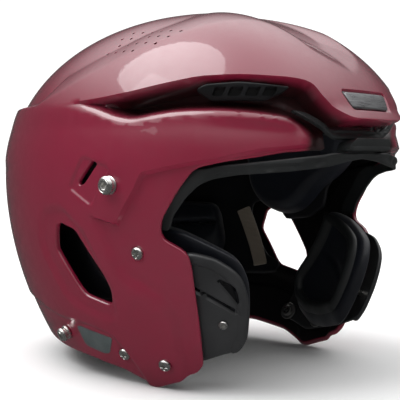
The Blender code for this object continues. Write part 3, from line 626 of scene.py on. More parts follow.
def shell_relief(directions, spread=0.0):
    """Height of the outer shell's face above the envelope. spread widens the channel, for the inner face."""
    places = wrap(directions)
    bearing, height = places[:, 0], places[:, 1]
    fall = CROWN_FALL + (REAR_LEDGE - CROWN_FALL) * smooth(ramp(bearing, *LEDGE_BEARINGS))
    cap = CAP_RAISE * (1 - soft_ramp(-outside(CREST, places) / fall, 0, 1, CREST_SOFT / fall))
    side = SIDE_RAISE
    side += REAR_RAISE * smooth(ramp(bearing, *REAR_BEARINGS)) * smooth(ramp(height, *REAR_HEIGHTS))
    side -= TEMPLE_TAPER * ramp(bearing, *TAPER_BEARINGS)
    beside = smooth(ramp(height, *SIDE_HEIGHTS)) * smooth(ramp(bearing, *SIDE_BEARINGS))
    relief = cap + (side - CAP_RAISE) * beside
    relief += BROW_FLARE * ramp(height, *FLARE_HEIGHTS) * smooth(ramp(bearing, *FLARE_BEARINGS))
    below = -outside(BELOW_TEMPLE, places)
    step = soft_ramp(below, 0, TEMPLE_WALL, STEP_SOFT)
    front = soft_ramp(-outside(BEFORE_BAND, places), 0, BAND_WIDTH, BAND_SOFT)
    away = np.hypot((bearing - TEMPLE_CORNER[0]) * MM_PER_DEGREE, height - TEMPLE_CORNER[1])
    faded = CORNER_STEP * (1 - smooth(away / CORNER_FADE))
    relief -= step * (faded + (TEMPLE_STEP - faded) * front)
    for outline, depth, *wall in RECESSES:
        relief -= depth * soft_ramp(-outside(outline, places), *wall)
    depth = CHANNEL_DEPTH * smooth(ramp(bearing, *CHANNEL_BEARINGS))
    return relief - (relief + depth) * channel_share(places, spread)


def shell_edge(directions):
    """Distance in millimetres to the nearest edge of the shell, positive on the shell."""
    places = wrap(directions)
    edges = [-outside(SHELL_EDGE, places), outside(VENT_EDGE, places), outside(SLOT_EDGE, places)]
    return np.minimum.reduce([*edges, near_points(HOLES, directions) - HOLE_RADIUS + HOLE_LIP])


def shell_outer(directions):
    """The outer shell's face: its relief, the badge's pocket, the countersinks and the rounded edges."""
    relief = shell_relief(directions)
    pocket = POCKET_MARGIN - outside(POCKET_EDGE, wrap(directions))
    relief -= POCKET_DEPTH * soft_ramp(pocket, 0, POCKET_WALL, POCKET_SOFT)
    relief -= SINK_DEPTH * soft_ramp(SINK_RADIUS - near_points(SINKS, directions), 0, 1, SINK_SOFT)
    return relief - EDGE_ROUND * (1 - dome(shell_edge(directions), EDGE_ROUND))


def shell_inner(directions):
    """The outer shell's inner face, one wall further in."""
    lift = 0.7 * EDGE_ROUND * (1 - dome(shell_edge(directions), EDGE_ROUND))
    return shell_relief(directions, SHELL_WALL) - SHELL_WALL + lift


def outer_shell(look, lining):
    """The painted shell, with the black lining on its inner face and its depth in the channel as a point
    attribute, which the paint turns into painted shade.
    """
    openings = ((SHELL_EDGE, 1), (VENT_EDGE, -1), (SLOT_EDGE, -1))
    sheet = Sheet(SHELL_CELLS, beyond(SHELL_EDGE))
    for radius in HOLE_CELLS:
        sheet.refine(lambda d: near_points(HOLES, d) - radius)
    sheet.refine(lambda d: outside(SLOT_EDGE, wrap(d)) - SLOT_MARGIN)
    sheet.refine(lambda d: near_points(SINKS, d) - SINK_RADIUS - 1)
    for outline, sign in openings:
        sheet.trim(beyond(outline, sign))
    sheet.trim(lambda d: HOLE_RADIUS - near_points(HOLES, d))
    for outline, sign in openings:
        cut_at(sheet, outline, *(-sign * share * EDGE_ROUND for share in EDGE_SHARES))
    cut_ramp(sheet, WING_SIDE, 0, CHANNEL_WALL, WALL_SOFT)
    cut_at(sheet, RIDGE_SIDE, SLOPE_SOFT, -CHANNEL_SLOPE - SLOPE_SOFT)
    cut_at(sheet, CREST, CREST_SOFT, -CREST_SOFT, -REAR_LEDGE - CREST_SOFT)
    cut_ramp(sheet, BELOW_TEMPLE, 0, TEMPLE_WALL, STEP_SOFT)
    cut_ramp(sheet, BEFORE_BAND, 0, BAND_WIDTH, BAND_SOFT)
    for outline, _, *wall in RECESSES:
        cut_ramp(sheet, outline, *wall)
    cut_ramp(sheet, POCKET_EDGE, -POCKET_MARGIN, POCKET_WALL - POCKET_MARGIN, POCKET_SOFT)
    for radius in (SINK_RADIUS + SINK_SOFT, SINK_RADIUS - 1 - SINK_SOFT):
        sheet.cut(lambda d: near_points(SINKS, d) - radius)
    sheet.mirror()
    made = sheet.solid("shell", shell_outer, shell_inner, look)
    second_look(made, lining, shell_edge(sheet.middles()) > EDGE_ROUND, len(sheet.faces))
    places = wrap(sheet.points)
    # Painted shade: how far down the side channel each point lies, which darkens the paint's base colour there.
    painted_channel_shade = smooth(channel_share(places) * CHANNEL_SHADE_GAIN) * smooth(ramp(places[:, 0], *CHANNEL_SHADE_BEARINGS))
    made.data.attributes.new("painted_channel_shade", "FLOAT", "POINT").data.foreach_set("value", np.tile(painted_channel_shade, 2))
    return made


# ---- the pieces inside

LINER_SHELL = [(-20, 33), (20, 33), (36, 24), (50, 18), (60, 8), (66, -10), (67, -28), (74, -38), (87, -41),
               (92, -27.4), (100.5, -23.4), (105.5, -27), (106.2, -44), (98, -68.5), (95, -75), (87, -80),
               (88, -89), (96, -91), (110, -92), (150, -92), (200, -90), (200, 250), (-20, 250)]
TEMPLE_PAD = [(39, 34), (50, 14), (58, 0), (66, -10), (70, -22), (76, -34), (86, -38), (97, -31), (104, -14),
              (106, 4), (106, 34), (104, 58), (80, 70), (42, 70)]
NAPE_PAD = [(122, -30), (170, -26), (174, -36), (172, -84), (126, -84), (118, -72)]
PAD_REGIONS = {
    "pad_front": ([(-40, 40), (30, 37), (34, 44), (32, 68), (24, 76), (-40, 78)], 0, 15),
    "pad_crown": ([(-20, 88), (70, 92), (110, 90), (200, 84), (200, 250), (-20, 250)], 0, 16),
    "pad_rear": ([(138, 52), (200, 52), (200, -20), (146, -20), (136, -6), (134, 40)], 0, 26),
    "pad_temple_left": (TEMPLE_PAD, 1, 16),
    "pad_temple_right": (TEMPLE_PAD, -1, 16),
    "pad_nape_left": (NAPE_PAD, 1, 24),
    "pad_nape_right": (NAPE_PAD, -1, 24),
}
PAD_ROLL = 9
PAD_SWELL = 26
SEAM_SINK = 0.22
SEAM_WIDTH = 2.4
JAW_PLATE = [(53.4, -42.4), (47.4, -45.3), (42.2, -52.8), (39.9, -58.7), (38.3, -67.8), (37.2, -80.3),
             (36.9, -96.4), (38.4, -104.3), (50.1, -113.4), (68, -121.5), (84, -114), (82, -96), (70, -78),
             (64, -60), (60.5, -45)]
JAW_PAD = [(64, -30), (55.5, -34.5), (46.8, -43.5), (40.5, -51), (37.5, -62), (36.3, -74), (35.4, -92),
           (35.4, -108), (37.5, -115.5), (49, -122), (60, -122.5), (70, -114), (74, -98.5), (73, -88),
           (69, -74), (65.5, -56), (63.5, -40)]
JAW_SEAM = [(63, -66), (52, -76), (42, -92)]
JAW_CENTRE = (54, -76)
JAW_SNAPS = {"front": (44.5, -87), "rear": (62, -85)}
BUMPER = [(-20, 27), (11.5, 27), (13.4, 28.2), (15.9, 30.6), (19.6, 34.6), (22.9, 37.8), (26.2, 40.4),
          (27, 42.6), (25, 43.2), (22.2, 42), (18.2, 37.4), (14.4, 33.4), (12.8, 33), (11, 33.6), (-20, 33.6)]
BUMPER_GROOVE = [(-20, 31.2), (12.5, 31.2), (17, 34.6), (23, 40)]
BUMPER_BACK = -8.1
BUMPER_SINK = 3.4
BUMPER_THICK = 3.3
BROW_LIP = [(-20, 19.2), (9.4, 19.2), (10.6, 20.6), (9.6, 24), (8, 26.2), (-20, 26.2)]
LINER_BAND = [(-20, 14.4), (1, 14.4), (8, 12.8), (16.3, 9.4), (28.6, 6.6), (42, 4.5), (48, 2), (51.5, -1.5),
              (54.8, -9), (58.6, -21), (59.6, -30), (65, -30), (64.5, -21), (58, 3), (54, 8), (50.6, 8.2),
              (45.6, 10.6), (36.6, 12.8), (26.4, 15.2), (17.6, 17.2), (14.8, 18.3), (-20, 18.3)]
BAND_STEP = [(-20, 16.9), (14.6, 16.8), (18, 14.2), (27, 11.4), (42, 8.6), (50, 4), (54, -2), (58.4, -12),
             (62, -24), (64, -40)]
BAND_NOTCHES = [(20, 11.4), (27, 9.4), (34, 8.4), (41, 6.6)]
NOTCH_HALF = 1.6
BAND_THICK = 3.4
GRILLE = [(52.6, 54.2), (50, 56.4), (40.5, 57.4), (26.6, 55.6), (28.6, 53), (33.6, 49.6), (48, 49.6)]
GRILLE_CELLS = [(31.4, 34.8), (36.0, 39.4), (40.6, 44.0), (45.2, 48.2)]
GRILLE_TOP = 57
GRILLE_FACE = 1.9
GRILLE_LEAN = 0.9
GRILLE_WALL = 2.4
DECAL = [(104.4, -94.2), (101.8, -93.6), (85.4, -98), (89.4, -109.3), (92.8, -110.2), (103.2, -107)]
LABEL = [(113.4, -36), (107, -30.5), (94, -84), (101.6, -87)]


def inner_shell(look):
    """The smooth inner shell that carries the pads, with a rolled edge."""
    edge = rounded(LINER_SHELL, 3)
    roll = worn(edge, LINER_ROLL)
    return patch(edge, 56, creases=(0.3, LINER_ROLL)).solid(
        "inner_shell", lambda d: LINER_OUTER - LINER_ROLL * roll(d),
        lambda d: LINER_OUTER - LINER_WALL + LINER_ROLL * roll(d), look)


def pad(name, outline, side, thickness, look, seams=()):
    """A moulded cushion on the inner shell, rounded at its edge and sewn down along its seams."""
    edge = rounded(outline, 11)
    sheet = patch(edge, 64, side, creases=(0.15, 0.7, 1.8, 4, 8))

    def inner(d):
        places = wrap(d)
        inset = -outside(edge, places)
        full = 0.3 + 0.55 * dome(inset, PAD_ROLL) + 0.15 * dome(inset, PAD_SWELL)
        for seam in seams:
            full -= SEAM_SINK * stitch(seam, SEAM_WIDTH, places) * smooth(inset / PAD_ROLL)
        return PAD_OUTER - thickness * full

    return sheet.solid(name, level(PAD_OUTER), inner, look)


# ---- turned pieces and hardware

def seat(at, side=1, height=0.0):
    """A frame on the envelope: this far outside it, with Z straight out and X level along the surface."""
    bearing, rise = at
    ahead = unwrap(bearing + 0.5, rise, 0, side) - unwrap(bearing - 0.5, rise, 0, side)
    up = unwrap(bearing, rise + 0.5, 0, side) - unwrap(bearing, rise - 0.5, 0, side)
    point = unwrap(bearing, rise, 0, side)
    out = np.cross(ahead, up)
    out *= np.sign(out @ (point - HEAD_CENTRE)) / np.linalg.norm(out)
    ahead /= np.linalg.norm(ahead)
    frame = Matrix.Identity(4)
    for column, axis in enumerate((ahead, np.cross(out, ahead), out, point + height * out)):
        frame.col[column][:3] = axis
    return frame


def relief_at(at):
    """Height of the shell's outer face above the envelope at one place."""
    return float(shell_relief(unit(unwrap(*at) - HEAD_CENTRE)[None])[0])


def turned(name, profile, frame, look, segments=48, sharp=40):
    """A body turned about the frame's Z, from rings of (radius, height). A radius may be a function of the
    angle, and a profile that starts off the axis makes a ring."""
    points, rings = [], []
    for radius, height in profile:
        pole = not callable(radius) and radius == 0
        count = 1 if pole else segments
        rings.append(range(len(points), len(points) + count))
        for k in range(count):
            angle = 2 * math.pi * k / segments
            reach = radius(angle) if callable(radius) else radius
            points.append((reach * math.cos(angle), reach * math.sin(angle), height))
    closed = len(rings[0]) == 1
    faces = []
    for upper, lower in list(zip(rings, rings[1:])) + ([] if closed else [(rings[-1], rings[0])]):
        for k in range(segments):
            loop = [lower[k % len(lower)], lower[(k + 1) % len(lower)], upper[(k + 1) % len(upper)],
                    upper[k % len(upper)]]
            faces.append(list(dict.fromkeys(loop)))
    return mesh_object(name, [frame @ Vector(p) for p in points], faces, look, sharp)


def hexagon(radius):
    """The reach of a hexagon's side at an angle."""
    half = math.pi / 6
    return lambda angle: radius * math.cos(half) / math.cos((angle + 1e-9) % (math.pi / 3) - half)


def cross(reach, arm):
    """The reach of a cross with four arms, at an angle."""
    def at(angle):
        turn = (angle + math.pi / 4) % (math.pi / 2) - math.pi / 4
        return min(reach, arm / max(abs(math.sin(turn)), 1e-6))
    return at


# ---- hardware

def stud(name, at, side, rise, radius, look, collar):
    """A chin-strap stud: a washer, a waist and a domed head with rings round a hex socket."""
    frame = seat(at, side, relief_at(at) + 0.1)
    socket = hexagon(radius * 0.40)
    profile = [(0, rise - 2.6), (socket, rise - 2.4), (socket, rise - 0.25), (hexagon(radius * 0.46), rise),
               (radius * 0.60, rise + 0.05), (radius * 0.64, rise - 0.3), (radius * 0.70, rise - 0.3),
               (radius * 0.74, rise - 0.1), (radius * 0.88, rise - 0.75), (radius * 0.97, rise - 1.5),
               (radius, rise - 2.1), (radius * 0.97, rise - 2.6), (radius * 0.74, rise - 3.1)]
    profile += collar
    profile += [(2.4, 0), (2.4, -9.5), (0, -9.5)]
    return turned(name, profile, frame, look)


def screw(name, at, side, reach, look):
    """A low domed screw with a cross recess, standing in its countersink."""
    frame = seat(at, side, relief_at(at) - 0.5)
    star = cross(2.5, 0.62)
    profile = [(0, 0.9), (star, 0.95), (star, 2.0), (cross(2.7, 0.8), 2.25), (3.0, 2.1), (3.55, 1.7),
               (3.95, 1.1), (4.05, 0.5), (4.0, 0.1), (2.0, 0), (2.0, -reach), (0, -reach)]
    return turned(name, profile, frame, look, 96)


def tee_nut(name, at, side, under, shank, look):
    """A flanged nut round a shank, this far under the envelope."""
    bore = shank + 0.3
    profile = [(bore, 0), (6.2, 0), (6.5, -0.3), (6.5, -0.9), (6.2, -1.2), (bore + 1.9, -1.2),
               (bore + 1.6, -1.6), (bore + 1.6, -3.3), (bore + 1.3, -3.6), (bore, -3.6)]
    return turned(name, profile, seat(at, side, under), look, 32)


def jaw_seat(at, side):
    """A frame on the jaw plate's face, with Z along the direction in which the jaw pad pulls off."""
    frame = seat(JAW_CENTRE, side)
    frame.translation = Vector(unwrap(*at, SNAP_BASE, side))
    return frame


def snap(name, at, side, look):
    """The snap in the jaw plate: a ring round a hex socket, on a post with a ball end."""
    socket = hexagon(1.35)
    profile = [(0, 0.1), (socket, 0.15), (socket, 1.35), (1.9, 1.6), (2.3, 1.45), (2.7, 1.0), (2.75, 0.5),
               (2.0, 0.4), (2.0, 5.2 - SNAP_REACH), (3.1, 4.9 - SNAP_REACH), (3.4, 4.4 - SNAP_REACH),
               (3.4, 1.2 - SNAP_REACH), (3.1, 0.5 - SNAP_REACH), (2.4, -SNAP_REACH), (0, -SNAP_REACH)]
    return turned(name, profile, jaw_seat(at, side), look)


def post(name, at, side, look):
    """The plain post behind the snap."""
    profile = [(0, -3.6), (3.1, -3.6), (3.4, -3.9), (3.4, -10.2), (3.1, -10.8), (2.4, -11.4), (0, -11.4)]
    return turned(name, profile, jaw_seat(at, side), look, 32)


# ---- jaw pieces

JAW_PLATE_FACE = -5.0
JAW_PLATE_BACK = -7.2
ROLL_WIDTH = 7.0
ROLL_RISE = 1.6
JAW_FRONT_LINE = JAW_PLATE[-1:] + JAW_PLATE[:8]
JAW_GROOVE = [(60, -58), (51.3, -67.2), (46.9, -72.2), (41.4, -79.2)]
JAW_GROOVE_WIDTH = 3.4
JAW_GROOVE_DEPTH = 1.6
JAW_POCKET = [(48.8, -54.8), (41.6, -62.6), (39.7, -69.0), (40.6, -76.2)]
JAW_POCKET_DEPTH = 1.5
JAW_POCKET_WALL = (0, 1.2, 0.3)


def jaw_plate(name, side, look, gloss_and_shade):
    """The backing plate: a rolled front edge, and a groove and a pocket whose floors take a glossy near-black
    plastic: a real gloss, and painted shade in its dark colour.
    """
    edge = rounded(JAW_PLATE, 4)
    pocket = rounded(JAW_POCKET, 0.8)
    half, groove_half = ROLL_WIDTH / 2, JAW_GROOVE_WIDTH / 2
    flat_from, groove_floor = ROLL_WIDTH - 1.6, groove_half - 0.9
    sheet = patch(edge, 100, 1, creases=(0.15, 0.6, 1.4))
    for line, width in [*((JAW_FRONT_LINE, width) for width in (flat_from, ROLL_WIDTH, half)),
                        (JAW_GROOVE, groove_floor), (JAW_GROOVE, groove_half + 0.2)]:
        sheet.cut(lambda d: distance(line, wrap(d)) - width)
    cut_ramp(sheet, pocket, *JAW_POCKET_WALL)
    if side < 0:
        sheet.mirror(keep=False)

    def outer(d):
        places = wrap(d)
        front = distance(JAW_FRONT_LINE, places)
        roll = ROLL_RISE * np.sqrt(np.clip(1 - ((front - half) / half) ** 2, 0, 1))
        groove = soft_ramp(groove_half - distance(JAW_GROOVE, places), -0.2, 0.9, 0.15)
        dip = soft_ramp(-outside(pocket, places), *JAW_POCKET_WALL)
        sunk = np.maximum(JAW_GROOVE_DEPTH * groove, JAW_POCKET_DEPTH * dip) * smooth((front - 4) / 2)
        return JAW_PLATE_FACE + roll - sunk - 1.2 * worn(edge, 1.4)(d)

    made = sheet.solid(name, outer, lambda d: JAW_PLATE_BACK + 0.6 * worn(edge, 1.4)(d), look)
    places = wrap(sheet.middles())
    # Painted shade: the groove's and the pocket's floors take the near-black glossy plastic, much darker than
    # the plate.
    sunk = (distance(JAW_GROOVE, places) < groove_floor) | (outside(pocket, places) < -0.9)
    second_look(made, gloss_and_shade, sunk & (distance(JAW_FRONT_LINE, places) > flat_from))
    return made


def jaw_cushion(name, side, look):
    """The jaw pad: a deep cushion with its cover sewn down along one slanted seam."""
    edge = rounded(JAW_PAD, 6)
    sheet = patch(edge, 100, side, creases=(0.15, 0.6, 1.6, 3.5, 7))

    def inner(d):
        places = wrap(d)
        inset = -outside(edge, places)
        full = 0.35 + 0.65 * dome(inset, 7)
        full -= 0.12 * stitch(JAW_SEAM, 2.2, places) * smooth((inset - 11) / 5)
        return JAW_PAD_OUTER - (JAW_PAD_DEPTH + 0.4) * full

    return sheet.solid(name, lambda d: JAW_PAD_OUTER - 1.5 * worn(edge, 2.5)(d), inner, look)


RIM_FROM = 2.6
RIM_TO = 11.2
RIM_RISE = 4.6
RIM_SHARES = (0.04, 0.15, 0.4, 0.7, 0.87, 0.97)


def jaw_rim(name, side, look):
    """The raised rim on the jaw pad's face: a wide roll that follows its outline."""
    edge = rounded(JAW_PAD, 6)
    sheet = Sheet(110, beyond(edge))
    sheet.trim(lambda d: outside(edge, wrap(d)) + RIM_FROM)
    sheet.trim(lambda d: -RIM_TO - outside(edge, wrap(d)))
    middle, half = (RIM_FROM + RIM_TO) / 2, (RIM_TO - RIM_FROM) / 2
    cut_at(sheet, edge, *(-RIM_FROM - 2 * half * share for share in RIM_SHARES))
    if side < 0:
        sheet.mirror(keep=False)

    def inner(d):
        across = (-outside(edge, wrap(d)) - middle) / half
        return JAW_RIM_OUTER - RIM_RISE * np.sqrt(np.clip(1 - across**2, 0, 1)) + 0.4

    return sheet.solid(name, level(JAW_RIM_OUTER + 1.4), inner, look)


# ---- trim and badges

def brow_insert(look):
    """The dark block set back under the brow's edge, which follows the channel's floor at both ends."""
    edge = rounded(BUMPER, 1.2)

    def under(d):
        bearing = wrap(d)[:, 0]
        rise = np.maximum(0, shell_relief(d) + CHANNEL_DEPTH) * smooth(ramp(bearing, 15, 18))
        return BUMPER_BACK + rise - BUMPER_SINK * smooth(ramp(bearing, 19, 13))

    def over(d):
        groove = 0.7 * stitch(BUMPER_GROOVE, 0.5, wrap(d))
        return under(d) + BUMPER_THICK - groove - 0.8 * worn(edge, 1.1)(d)

    return patch(edge, 110, creases=(0.12, 0.5, 1.1)).solid("brow_block", over, under, look)


def brow_lip(look):
    """The lip below the block: a bevelled nose over a shallow groove."""
    edge = rounded(BROW_LIP, 0.9)

    def over(d):
        height = wrap(d)[:, 1]
        nose = 2.4 * soft_ramp(height, 20.4, 25.4, 0.3)
        groove = 0.8 * np.exp(-((height - 21.6) / 0.5) ** 2)
        return -1.8 + nose - groove - 0.6 * worn(edge, 0.8)(d)

    return patch(edge, 120, creases=(0.12, 0.5, 1.3)).solid("brow_ledge", over, level(-13), look)


def edge_band(look):
    """The band along the liner's edge, thicker along its upper line and notched along its lower one."""
    edge = rounded(LINER_BAND, 2)

    def base(places):
        return -4.6 - 3 * ramp(places[:, 0], 52, 38)

    def over(d):
        places = wrap(d)
        lower = outside(BAND_STEP + [(200, -31), (200, -200), (-20, -200)], places) < 0
        step = 1.3 * smooth(distance(BAND_STEP, places) / 0.8) * lower
        cut = sum(np.exp(-(((places[:, 0] - bearing) * MM_PER_DEGREE / NOTCH_HALF) ** 4)
                         - (((places[:, 1] - height) / NOTCH_HALF) ** 4)) for bearing, height in BAND_NOTCHES)
        return base(places) - step - 0.9 * cut - 0.8 * worn(edge, 1.2)(d)

    sheet = patch(edge, 100, creases=(0.12, 0.5, 1.2))
    return sheet.solid("edge_band", over, lambda d: base(wrap(d)) - BAND_THICK, look)


def grille(name, side, look, back):
    """The vent grille: a leaning frame round four slanted cells, each a shallow dip whose near-black floor is
    painted shade standing in for the dark seen through an open cell.
    """
    edge = rounded(GRILLE, 2)
    cells = [rounded([(low, 51.2), (high, 51.2), (high - 1.1, 55.2), (low - 1.1, 55.2)], 0.8)
             for low, high in GRILLE_CELLS]
    sheet = patch(edge, 200, side, creases=(0.12, 0.5, 1.0))
    for cell in cells:
        cut_at(sheet, cell, 0.6, 0, -0.3)

    def lean(places):
        return GRILLE_FACE - GRILLE_LEAN * (GRILLE_TOP - places[:, 1])

    def beyond_cells(places):
        return np.minimum.reduce([outside(cell, places) for cell in cells])

    def over(d):
        places = wrap(d)
        hole = beyond_cells(places)
        rim = 0.9 * (1 - dome(np.minimum(-outside(edge, places), hole + 0.6), 1.0))
        return lean(places) - 1.8 * ramp(hole, 0, -0.3) - rim

    made = sheet.solid(name, over, lambda d: lean(wrap(d)) - GRILLE_WALL, look)
    centres = np.array([polygon.center for polygon in made.data.polygons]) / MM - HEAD_CENTRE
    # Painted shade: the cell floors take the near-black look in place of the dark seen through the open cells.
    second_look(made, back, beyond_cells(wrap(unit(centres))) < -0.15)
    return made


def nameplate(look):
    """The badge in its pocket on the brow, with a bevelled edge and a plain face."""
    edge = rounded(NAMEPLATE, 1.2)
    return patch(edge, 110, creases=(0.1, 0.4, 1.0)).solid(
        "name_plate", lambda d: CAP_RAISE - 0.1 - 0.7 * worn(edge, 1.0)(d), level(CAP_RAISE - 1.7), look)


def decal(name, side, look):
    """A thin blank sticker that follows the shell's face."""
    edge = rounded(DECAL, 2)
    return patch(edge, 130, side, creases=(0.15, 0.4)).solid(
        name, lambda d: shell_relief(d) + 0.32 - 0.2 * worn(edge, 0.4)(d),
        lambda d: shell_relief(d) + 0.05, look)


def woven_label(look):
    """A ribbed tape with a raised hem, laid on the inner shell."""
    edge = rounded(LABEL, 1)

    def face(d):
        places = wrap(d)
        ribs = 0.12 * np.cos(2 * np.pi * places[:, 1] / 2.4)
        hem = 0.35 * soft_ramp(2.0 + outside(edge, places), 0, 1.2, 0.2)
        return LABEL_OUTER - 1.1 - ribs + hem

    return patch(edge, 120, 1, creases=(0.2, 0.8, 2.0)).solid("label_tape", level(LABEL_OUTER), face, look)


# ---- materials

def node_adder(tree):
    """A function that adds a node to this tree, sets its inputs and links them."""

    def add(kind, values=(), links=(), **settings):
        node = tree.nodes.new("ShaderNode" + kind)
        for key, value in settings.items():
            setattr(node, key, value)
        for key, value in dict(values).items():
            node.inputs[key].default_value = value
        for key, source in dict(links).items():
            tree.links.new(source, node.inputs[key])
        return node

    return add


def node_material(name, colour, roughness, metallic=0.0, **sockets):
    """A Principled material, the output with each place on it, and functions that add and link nodes."""
    made = bpy.data.materials.new(name)
    made.use_nodes = True
    tree = made.node_tree
    shader = tree.nodes["Principled BSDF"]
    base = {"Base Color": (*colour, 1), "Roughness": roughness, "Metallic": metallic}
    for key, value in {**base, **sockets}.items():
        shader.inputs[key.replace("_", " ")].default_value = value
    add = node_adder(tree)

    def link(source, key):
        tree.links.new(source, shader.inputs[key])

    return made, add("TexCoord").outputs["Object"], add, link


def spread_colours(add, source, low, high, stops=(0.35, 0.65)):
    ramp_node = add("ValToRGB", links={"Fac": source})
    for element, stop, colour in zip(ramp_node.color_ramp.elements, stops, (low, high)):
        element.position = stop
        element.color = (*colour, 1)
    return ramp_node.outputs["Color"]


def spread_values(add, source, low, high, start=0.3, end=0.7):
    return add("MapRange", {"From Min": start, "From Max": end, "To Min": low, "To Max": high},
               {"Value": source}).outputs["Result"]


def noise(add, place, scale, detail=3.0, rough=0.5):
    values = {"Scale": scale, "Detail": detail, "Roughness": rough}
    return add("TexNoise", values, {"Vector": place}).outputs["Fac"]


def bump(add, height, strength, reach, below=None):
    links = {"Height": height}
    if below is not None:
        links["Normal"] = below
    return add("Bump", {"Strength": strength, "Distance": reach}, links).outputs["Normal"]


def paint_look():
    """Gloss maroon: a deep base under clear coat, with painted shade that darkens it down in the channels, and
    a faint orange peel.
    """
    made, place, add, link = node_material("paint", (0.150, 0.0052, 0.0165), 0.34, Coat_Weight=1.0,
                                           Coat_Roughness=0.03, Coat_IOR=1.5)
    face = spread_colours(add, noise(add, place, 9, 4), (0.180, 0.0052, 0.0255), (0.198, 0.0066, 0.0295))
    # Painted shade: the channel depth attribute mixes the base colour towards near-black down in the side
    # channel.
    depth = add("Attribute", attribute_name="painted_channel_shade").outputs["Fac"]
    deep = add("MixRGB", {"Color2": (0.016, 0.0010, 0.0018, 1)}, {"Fac": depth, "Color1": face})
    link(deep.outputs["Color"], "Base Color")
    marks = noise(add, place, 140, 8, 0.75)
    link(spread_values(add, marks, 0.28, 0.42), "Roughness")
    link(bump(add, noise(add, place, 420, 2), 0.05, 0.0004), "Coat Normal")
    link(bump(add, noise(add, place, 900, 2), 0.06, 0.0003), "Normal")
    return made


def grained_look(name, colour, roughness, tones, wear=None, grain=None, metallic=0.0, **sockets):
    """A material from up to three noises, each (scale, detail, roughness): tones adds two colours and their
    stops, wear adds the shader's least and most roughness, and grain adds a bump's strength and reach."""
    made, place, add, link = node_material(name, colour, roughness, metallic, **sockets)
    link(spread_colours(add, noise(add, place, *tones[0]), *tones[1:]), "Base Color")
    if wear:
        link(spread_values(add, noise(add, place, *wear[0]), *wear[1:]), "Roughness")
    if grain:
        link(bump(add, noise(add, place, *grain[0]), *grain[1:]), "Normal")
    return made


def plastic_look(name, dark, light, roughness, grain=1800, depth=0.12):
    """Moulded plastic with a fine grain and slight colour variation, worn a little smoother in places."""
    return grained_look(name, light, roughness, ((35, 5), dark, light),
                        ((60, 6, 0.7), roughness - 0.07, roughness + 0.09), ((grain, 3, 0.6), depth, 0.0003))


def steel_look(name, colour, roughness):
    """Plated steel with fine turning marks and a few darker stains."""
    dark = tuple(c * 0.72 for c in colour)
    return grained_look(name, colour, roughness, ((260, 5, 0.6), dark, colour, (0.3, 0.55)),
                        ((900, 4), roughness - 0.06, roughness + 0.12), ((2400, 2), 0.12, 0.0001), 1.0)


def column_look():
    """Matt rubber."""
    return grained_look("columns", (0.014, 0.014, 0.016), 0.62,
                        ((50, 4), (0.010, 0.010, 0.012), (0.02, 0.02, 0.022)),
                        grain=((1200, 3), 0.2, 0.0003), Sheen_Weight=0.2)


def vinyl_look():
    """The grey sticker."""
    return grained_look("vinyl", (0.060, 0.075, 0.075), 0.42,
                        ((120, 5), (0.052, 0.066, 0.067), (0.070, 0.086, 0.086)), ((300, 4), 0.36, 0.5),
                        ((1500, 2), 0.08, 0.0002))


def floor_look():
    """Pale paper."""
    return grained_look("floor", (0.93, 0.93, 0.93), 0.8, ((4, 3), (0.92, 0.92, 0.92), (0.94, 0.94, 0.94)))


def cover_look():
    """The pads' cover: a blue-black film over a fine knit, with soft creases."""
    made, place, add, link = node_material("cover", (0.006, 0.0075, 0.012), 0.36, Sheen_Weight=0.15,
                                           Sheen_Roughness=0.4)
    tones = (0.0045, 0.0055, 0.009), (0.009, 0.0105, 0.016)
    link(spread_colours(add, noise(add, place, 30, 4), *tones), "Base Color")
    link(spread_values(add, noise(add, place, 55, 5, 0.65), 0.28, 0.46), "Roughness")
    cells = add("TexVoronoi", {"Scale": 900.0}, {"Vector": place}).outputs["Distance"]
    knit = bump(add, cells, 0.25, 0.0003)
    link(bump(add, noise(add, place, 38, 3), 0.35, 0.002, knit), "Normal")
    return made


def badge_look():
    """Dark brushed metal with a grain that runs across the badge."""
    made, place, add, link = node_material("badge", (0.30, 0.30, 0.31), 0.3, 0.9)
    stretched = add("Mapping", {"Scale": (90.0, 90.0, 2600.0)}, {"Vector": place}).outputs["Vector"]
    grain = add("TexNoise", {"Scale": 1.0, "Detail": 4.0}, {"Vector": stretched}).outputs["Fac"]
    link(spread_colours(add, grain, (0.20, 0.20, 0.21), (0.36, 0.36, 0.37)), "Base Color")
    link(spread_values(add, grain, 0.24, 0.4), "Roughness")
    link(bump(add, grain, 0.08, 0.0002), "Normal")
    return made


def weave_look():
    """Woven tape: threads that cross, in brown-greys."""
    made, place, add, link = node_material("tape", (0.16, 0.13, 0.095), 0.85, Sheen_Weight=0.4)
    threads = [add("TexWave", {"Scale": 520.0, "Distortion": 0.6, "Detail": 1.0}, {"Vector": place},
                   bands_direction=axis).outputs["Fac"] for axis in "ZY"]
    crossed = add("Math", {}, dict(enumerate(threads)), operation="MAXIMUM").outputs["Value"]
    link(spread_colours(add, crossed, (0.085, 0.067, 0.050), (0.30, 0.245, 0.185), (0.2, 0.9)), "Base Color")
    link(bump(add, crossed, 0.6, 0.0004), "Normal")
    return made


# ---- the scene

def settle(piece, slot, *nodes, body="helmet", fill=None):
    """Gives a piece its body and hides the frame's solids that it stands for. slot, its material slot, is not
    used.
    """
    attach(piece, body)
    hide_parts(*nodes)
    return piece


LOW_COLLAR = [(5.75 * 0.70, 1.3), (5.75 * 0.92, 1.0), (5.75 * 0.98, 0.6), (5.75 * 0.98, 0.1), (5.6, 0)]
TALL_COLLAR = [(3.6, 2.3), (4.6, 2.0), (4.9, 1.6), (4.9, 0.5), (4.7, 0.1), (4.5, 0)]
NUT_DROP = 4.8
JAW_NUT_AT = -8.0
NUTS = {"upper": (UPPER_STUD_AT, 2.4), "lower": (LOWER_STUD_AT, 2.4), "side": (SIDE_SCREW_AT, 2.0)}


